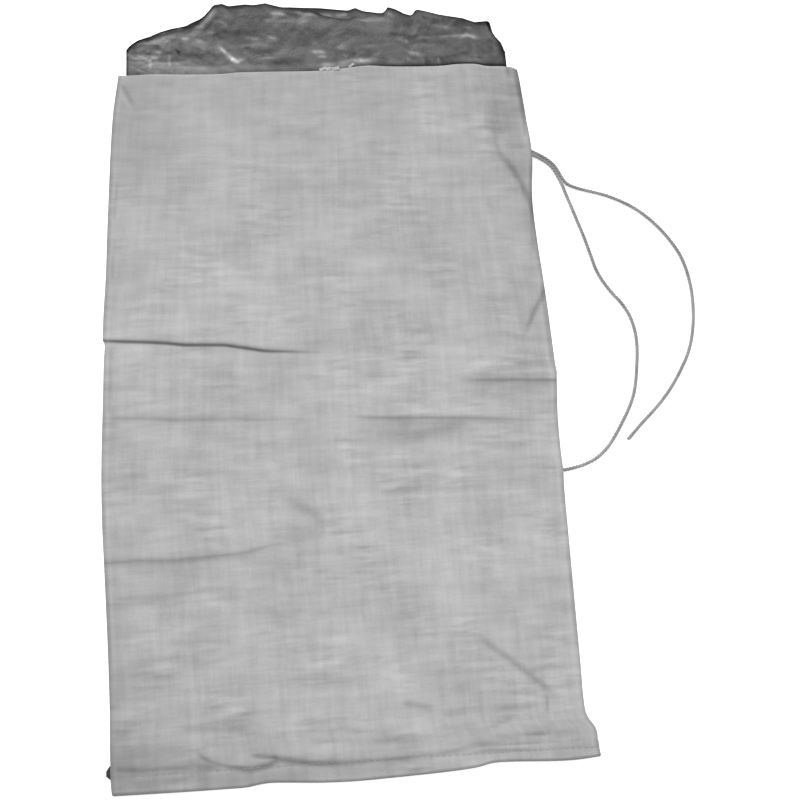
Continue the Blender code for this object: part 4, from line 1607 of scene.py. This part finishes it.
# %% Shade of the film
# Patches of painted shade, and one of painted light, on the film: middle, half width, half height, how much
# lighter
FILM_TONES = [(-100, 500, 95, 30, -0.30), (-60, 438, 62, 15, -0.36), (70, 488, 50, 22, 0.08)]
# Grain of the film: width and length of a cell, seed and strength
FILM_GRAIN = [(46, 17, 41, 0.33), (11, 7, 42, 0.22), (4, 5, 45, 0.16)]
HIGHLIGHT_GAIN = 2.4
DARKEST = 0.12
# Soft bands of painted shade and light on the film, each by its middle from an edge, half width and gain
# Painted shade along the curled rim of each layer
RIM_BAND = (0, 2.0)
RIM_DARK_FRONT = -0.35
RIM_DARK_BACK = -0.5
# Painted light just inside the rim, and more on the back layer
RIM_BRIGHT = (9, 4.5, 0.35)
RIM_BRIGHT_BACK = (11, 4.5)
BACK_BRIGHT = 1.3
# Painted shade along the back layer's rim
CORNER_DARK = -0.8
# Painted shade along the film's left fold
SIDE_FOLD_SHADE = (1.5, 2.2, -0.6)
# Painted shadow of the sack's mouth edge on the film
MOUTH_SHADOW_WIDTH = 6.0


def film_shade(x, y):
    """Share of light that each point of the film keeps, as painted shade and light, with its grain."""
    front = FILM_LAYOUT[1][None, :] > 0
    own_rim = np.where(front, film_rim(x) - front_short(x), film_rim(x))
    rim_gap, _ = along_line(x, y, LINER_RIM)
    # Painted shade along the rim is wider at the right corner, and the painted shadow of the
    # sack's mouth edge on the film is stronger to the right
    corner_width = 2.0 + 4.6 * smooth_step((x - 254) / 10)
    mouth_shadow = 0.05 + 0.5 * smooth_step((x + 160) / 60) + 0.42 * smooth_step((x - 60) / 60)
    shade = band(own_rim - y, *RIM_BAND, np.where(front, RIM_DARK_FRONT, RIM_DARK_BACK))
    shade = shade * band(rim_gap, 0, corner_width, CORNER_DARK) * band(rim_gap, *RIM_BRIGHT)
    shade = shade * band(x - LINER_LEFT, *SIDE_FOLD_SHADE)
    shade = shade * band(rim_gap, *RIM_BRIGHT_BACK, np.where(front, 0.0, BACK_BRIGHT))
    shade = shade * (1 + blotches(x, y, FILM_TONES))
    shade = shade * band(y - read_outline(MOUTH, x), 0, MOUTH_SHADOW_WIDTH, -mouth_shadow)
    grain = 1.0
    for wide, tall, seed, strength in FILM_GRAIN:
        grain = grain + strength * soft_noise(x, y, wide, tall, seed)
    shade = shade * grain
    # Painted highlights, broken up along their length
    broken = 0.75 + 0.6 * soft_noise(x, y, 5, 4, 44)
    for line, width, gain in highlight_marks:
        gap, share = along_line(x, y, line)
        taper = smooth_step(4 * share) * smooth_step(4 * (1 - share)) * 0.7 + 0.3
        shade = shade + HIGHLIGHT_GAIN * gain * taper * broken * bell(gap, width)
    return np.maximum(shade, DARKEST)


liner_shade = film_shade(film_grid[:, :, 0], film_grid[:, :, 1])
print("film shade from", round(float(liner_shade.min()), 2), "to", round(float(liner_shade.max()), 2))

# %% [markdown]
# The liner is made like the sack. Its walls are so close together that the inner one keeps every
# row, and both share their shade.

# %% Make the liner
FILM_WALL = 0.3


def make_liner():
    wall = film_grid - FILM_WALL * surface_normals(film_grid)
    uv = film_grid[..., :2]
    piece = add_shell("film_liner", (film_grid, uv, liner_shade), (wall, uv, liner_shade), film_finish)
    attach(piece, "root")
    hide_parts("liner")
    return piece


liner = make_liner()

# %% [markdown]
# ## Stitches
# The hem is closed with a two-thread chain stitch: straight stitches on the front, and loops that
# catch one another on the back. One tree sets a short arc of thread on each point it is given,
# turned along the seam, and the same tree makes the front stitches and the chain's legs.

# %% Stitch tree
STITCH_SIZES = {"Length": 0.0072, "Rise": 0.0006, "Dip": 0.0009, "Sideways": 0.0, "Thread radius": 0.00042}
THREAD_SIDES = 6
ARC_PARTS = 8


def facing_along(tree, axis):
    """A rotation that turns an axis to the direction stored with each point."""
    along = add_node(tree, "GeometryNodeInputNamedAttribute", {"Name": "along"}, data_type="FLOAT_VECTOR")
    return add_node(tree, "FunctionNodeAlignRotationToVector", {"Vector": along}, axis=axis)


def on_points(tree, given, shape, **inputs):
    """A copy of a shape on each point that the tree is given."""
    points = add_node(tree, "GeometryNodeMeshToPoints", {"Mesh": given["Geometry"]})
    return add_node(tree, "GeometryNodeInstanceOnPoints", dict(inputs, Points=points, Instance=shape))


def build_stitch_tree():
    tree, given = start_tree("stitches", STITCH_SIZES)
    half = times(tree, given["Length"], 0.5)
    down = times(tree, given["Dip"], -1.0)
    arc = add_node(tree, "GeometryNodeCurveQuadraticBezier",
                   {"Resolution": ARC_PARTS,
                    "Start": xyz(tree, X=times(tree, half, -1.0), Z=down),
                    "Middle": xyz(tree, Y=given["Sideways"], Z=given["Rise"]),
                    "End": xyz(tree, X=half, Z=down)})
    thread = sweep(tree, arc, THREAD_SIDES, given["Thread radius"])
    end_tree(tree, on_points(tree, given, thread, Rotation=facing_along(tree, "X")), given["Material"])
    return tree


stitch_tree = build_stitch_tree()
print("stitch tree with", len(stitch_tree.nodes), "nodes")

# %% [markdown]
# The seam's points carry the direction of the seam, which the tree reads. The chain's legs are the
# same stitches once to each side, longer and without a dip, so that neighbours cross.

# %% Sew the hem
STITCH_PITCH = 8.0
SEAM_START = read_outline(LEFT_EDGE, -520) + 9
SEAM_STOP = read_outline(RIGHT_EDGE, -525) - 5
CHAIN_SIZES = STITCH_SIZES | {"Length": 0.0105, "Rise": 0.0, "Dip": 0.0, "Sideways": 0.0016}


def seam_points(height_at):
    """A point for each stitch with the direction of the seam there."""
    def on_seam(xs):
        ys = read_outline(SEAM, xs)
        return np.column_stack([xs, ys, height_at(xs, ys)])
    xs = np.arange(SEAM_START + STITCH_PITCH / 2, SEAM_STOP, STITCH_PITCH)
    here = on_seam(xs)
    return here * MM, on_seam(xs + 2) - here


def sew(name, points, along, node, sizes):
    piece = grow(name, stitch_tree, points, [], thread_finish, sizes, along)
    piece.data.shade_smooth()
    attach(piece, "root")
    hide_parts(node)


points, along = seam_points(lambda x, y: cloth_front(x, y)[0] + 0.25)
sew("hem_needle_stitches", points, along, "bottom_needle_thread", STITCH_SIZES)
points, along = seam_points(lambda x, y: 0.6 + 0 * x)
sew("hem_chain_loops", np.vstack([points, points]), np.vstack([along, -along]), "bottom_looper_thread",
    CHAIN_SIZES)

# %% [markdown]
# The cord is held by a few turns of thread that go under both cords and up into the back panel. The
# rope tree makes them too, with one strand and no hairs.

# %% Tack the cord
TACK_PLACE = (292, 295)
TACK_LOOPS = 5
TACK_PITCH = 2.4
TACK_BEND = 0.9
TACK_SIZES = ROPE_SIZES | {"Strands": 1, "Lay length": 0.0024, "Strand offset": 0.0,
                           "Strand radius": 0.0004, "Lift": 0.0, "Step": 0.0005, "Unevenness": 0.3,
                           "Hair density": 0.0, "Hair length": 0.001, "Hair floor": 0.0}


def tack_route():
    """The middle of the tacking thread in metres: down beside the cords, under them and up again."""
    reach = CORD + 2 * CORD_GAP + TACK_THREAD / 2
    low, high = TACK_THREAD / 2, TACK_LIFT - TACK_THREAD / 2 - CORD_GAP
    half_loop = [(reach, high), (reach, low + TACK_BEND), (reach - TACK_BEND, low)]
    loop_points = half_loop + [(-across, z) for across, z in reversed(half_loop)]
    along = (Vector(DOUBLED[2]) - Vector(DOUBLED[0])).normalized()
    sideways = Vector((-along.y, along.x))
    route = []
    for loop in range(TACK_LOOPS):
        middle = Vector(TACK_PLACE) + along * TACK_PITCH * (loop - (TACK_LOOPS - 1) / 2)
        side = 1 if loop % 2 == 0 else -1
        for across, z in loop_points:
            flat = middle + sideways * across * side
            route.append((flat.x * MM, flat.y * MM, z * MM))
    return route


route = tack_route()
tack = grow("tie_tack_loops", rope_tree, route, line_edges(route), thread_finish, TACK_SIZES)
tack.data.shade_smooth()
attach(tack, "root")
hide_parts("tie_tack_thread")

# %% [markdown]
# ## Cut edges
# Cut cloth shows its tape ends. They stand out a millimetre or two, each at its own angle, along
# the mouth and the flap, and a few long ones hang loose where the edge has frayed. One tree sets a
# thin slab on each point, moved so that it turns about its root.

# %% Tape end tree
TAPE_END_SIZES = {"Width": 0.0021, "Length": 0.0016, "Thickness": 0.00014, "Spread": 0.2, "Tilt": 0.12,
                  "Shortest": 0.15, "Seed": 5}
NARROWEST = 0.6


def build_tape_end_tree():
    tree, given = start_tree("tape_ends", TAPE_END_SIZES)
    size = xyz(tree, X=given["Width"], Y=given["Length"], Z=given["Thickness"])
    tape = add_node(tree, "GeometryNodeMeshCube", {"Size": size}).outputs["Mesh"]
    outward = xyz(tree, Y=times(tree, given["Length"], 0.5))
    moved = add_node(tree, "GeometryNodeTransform", {"Geometry": tape, "Translation": outward})
    limit = xyz(tree, X=given["Tilt"], Z=given["Spread"])
    rotation = leaned(tree, facing_along(tree, "Y"), scaled(tree, limit, -1.0), limit, given["Seed"])
    least = xyz(tree, X=NARROWEST, Y=given["Shortest"], Z=1.0)
    stretch = random_vector(tree, least, (1.0, 1.0, 1.0), given["Seed"])
    placed = on_points(tree, given, moved, Rotation=rotation, Scale=stretch)
    end_tree(tree, placed, given["Material"])
    return tree


tape_end_tree = build_tape_end_tree()
print("tape end tree with", len(tape_end_tree.nodes), "nodes")

# %% [markdown]
# The mouth gets a row of short ends on each panel and the flap gets one row. A tuft of wide tapes
# stands in the middle of the mouth, and some thin ones where the lower right corner is worn.

# %% Tape ends
TUFT_XS = (3.0, 7.5, 12.0, 17.0, 22.0, 46.0)
WORN_CORNER = [(287, -497, 7), (290, -501, 7), (292, -505, 8), (294, -508, 7), (299, -530, 6),
               (300, -534, 7)]


def fray(name, points, out, sizes):
    """Loose tape ends at points given in millimetres, all pointing out."""
    out = np.broadcast_to(np.array(out, float), (len(points), 3))
    piece = grow(name, tape_end_tree, np.array(points) * MM, [], tape_end_finish,
                 TAPE_END_SIZES | sizes, out)
    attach(piece, "root")


xs = np.arange(-282, 291, TAPE_WIDTH)
ys = read_outline(MOUTH, xs) - 1.2
front = np.column_stack([xs, ys, cloth_front(xs, ys)[0] - 0.25])
back = np.column_stack([xs, ys, underside(xs, ys) + 0.3])
fray("mouth_tape_ends", np.vstack([front, back]), (0, 1, 0), {})
xs = np.arange(-272, 291, TAPE_WIDTH)
ends = np.column_stack([xs, flap_end(xs) - 1.0, HEM_FLAP_MIDDLE + 0 * xs])
fray("flap_tape_ends", ends, (0, 1, 0), {"Seed": 6})
tuft = [(x, read_outline(MOUTH, x) + 1, float(cloth_front(x, 426.0)[0]) + 0.2) for x in TUFT_XS]
fray("mouth_loose_tapes", tuft, (1, 0.5, 0.06),
     {"Length": 0.011, "Width": 0.0052, "Spread": 0.3, "Shortest": 0.6, "Seed": 9})
fray("corner_loose_tapes", WORN_CORNER, (1, 0.15, 0),
     {"Length": 0.007, "Width": 0.0009, "Spread": 0.7, "Shortest": 0.4, "Seed": 4})

# %% [markdown]
# ## Floor and light
# The floor is near-white and glows a little, so it stays pale under the sack. One broad soft light
# comes from beyond the mouth, low enough for the creases to show, and an even white surround keeps
# the shadows pale.

# %% Floor and light
FLOOR_HALF = 6.0
FLOOR_GLOW = 0.5
SUN_HEIGHT = math.radians(40)
SUN_FROM = math.radians(100)
SUN_STRENGTH = 2.3
SUN_WIDTH = math.radians(24)
SURROUND = 0.72


def add_floor():
    mesh = bpy.data.meshes.new("floor")
    corners = [(x * FLOOR_HALF, y * FLOOR_HALF, 0) for x, y in ((-1, -1), (1, -1), (1, 1), (-1, 1))]
    mesh.from_pydata(corners, [], [(0, 1, 2, 3)])
    material, tree, shader = start_material("pale_floor", 0.9)
    set_inputs(tree, shader, {"Base Color": grey(0.93), "Specular IOR Level": 0.1,
                              "Emission Color": grey(1.0), "Emission Strength": FLOOR_GLOW})
    mesh.materials.append(material)
    in_scene("floor", mesh)


def add_lights():
    data = bpy.data.lights.new("soft_key", "SUN")
    data.energy = SUN_STRENGTH
    data.angle = SUN_WIDTH
    level = math.cos(SUN_HEIGHT)
    to_light = Vector((math.cos(SUN_FROM) * level, math.sin(SUN_FROM) * level, math.sin(SUN_HEIGHT)))
    in_scene("soft_key", data).rotation_euler = to_light.to_track_quat("Z", "Y").to_euler()
    world = bpy.data.worlds.new("white_surround")
    world.use_nodes = True
    set_inputs(world.node_tree, world.node_tree.nodes["Background"],
               {"Color": grey(1.0), "Strength": SURROUND})
    bpy.context.scene.world = world


add_floor()
add_lights()
bpy.context.scene.view_settings.view_transform = "Standard"
print("light from", round(math.degrees(SUN_HEIGHT)), "degrees above the floor")
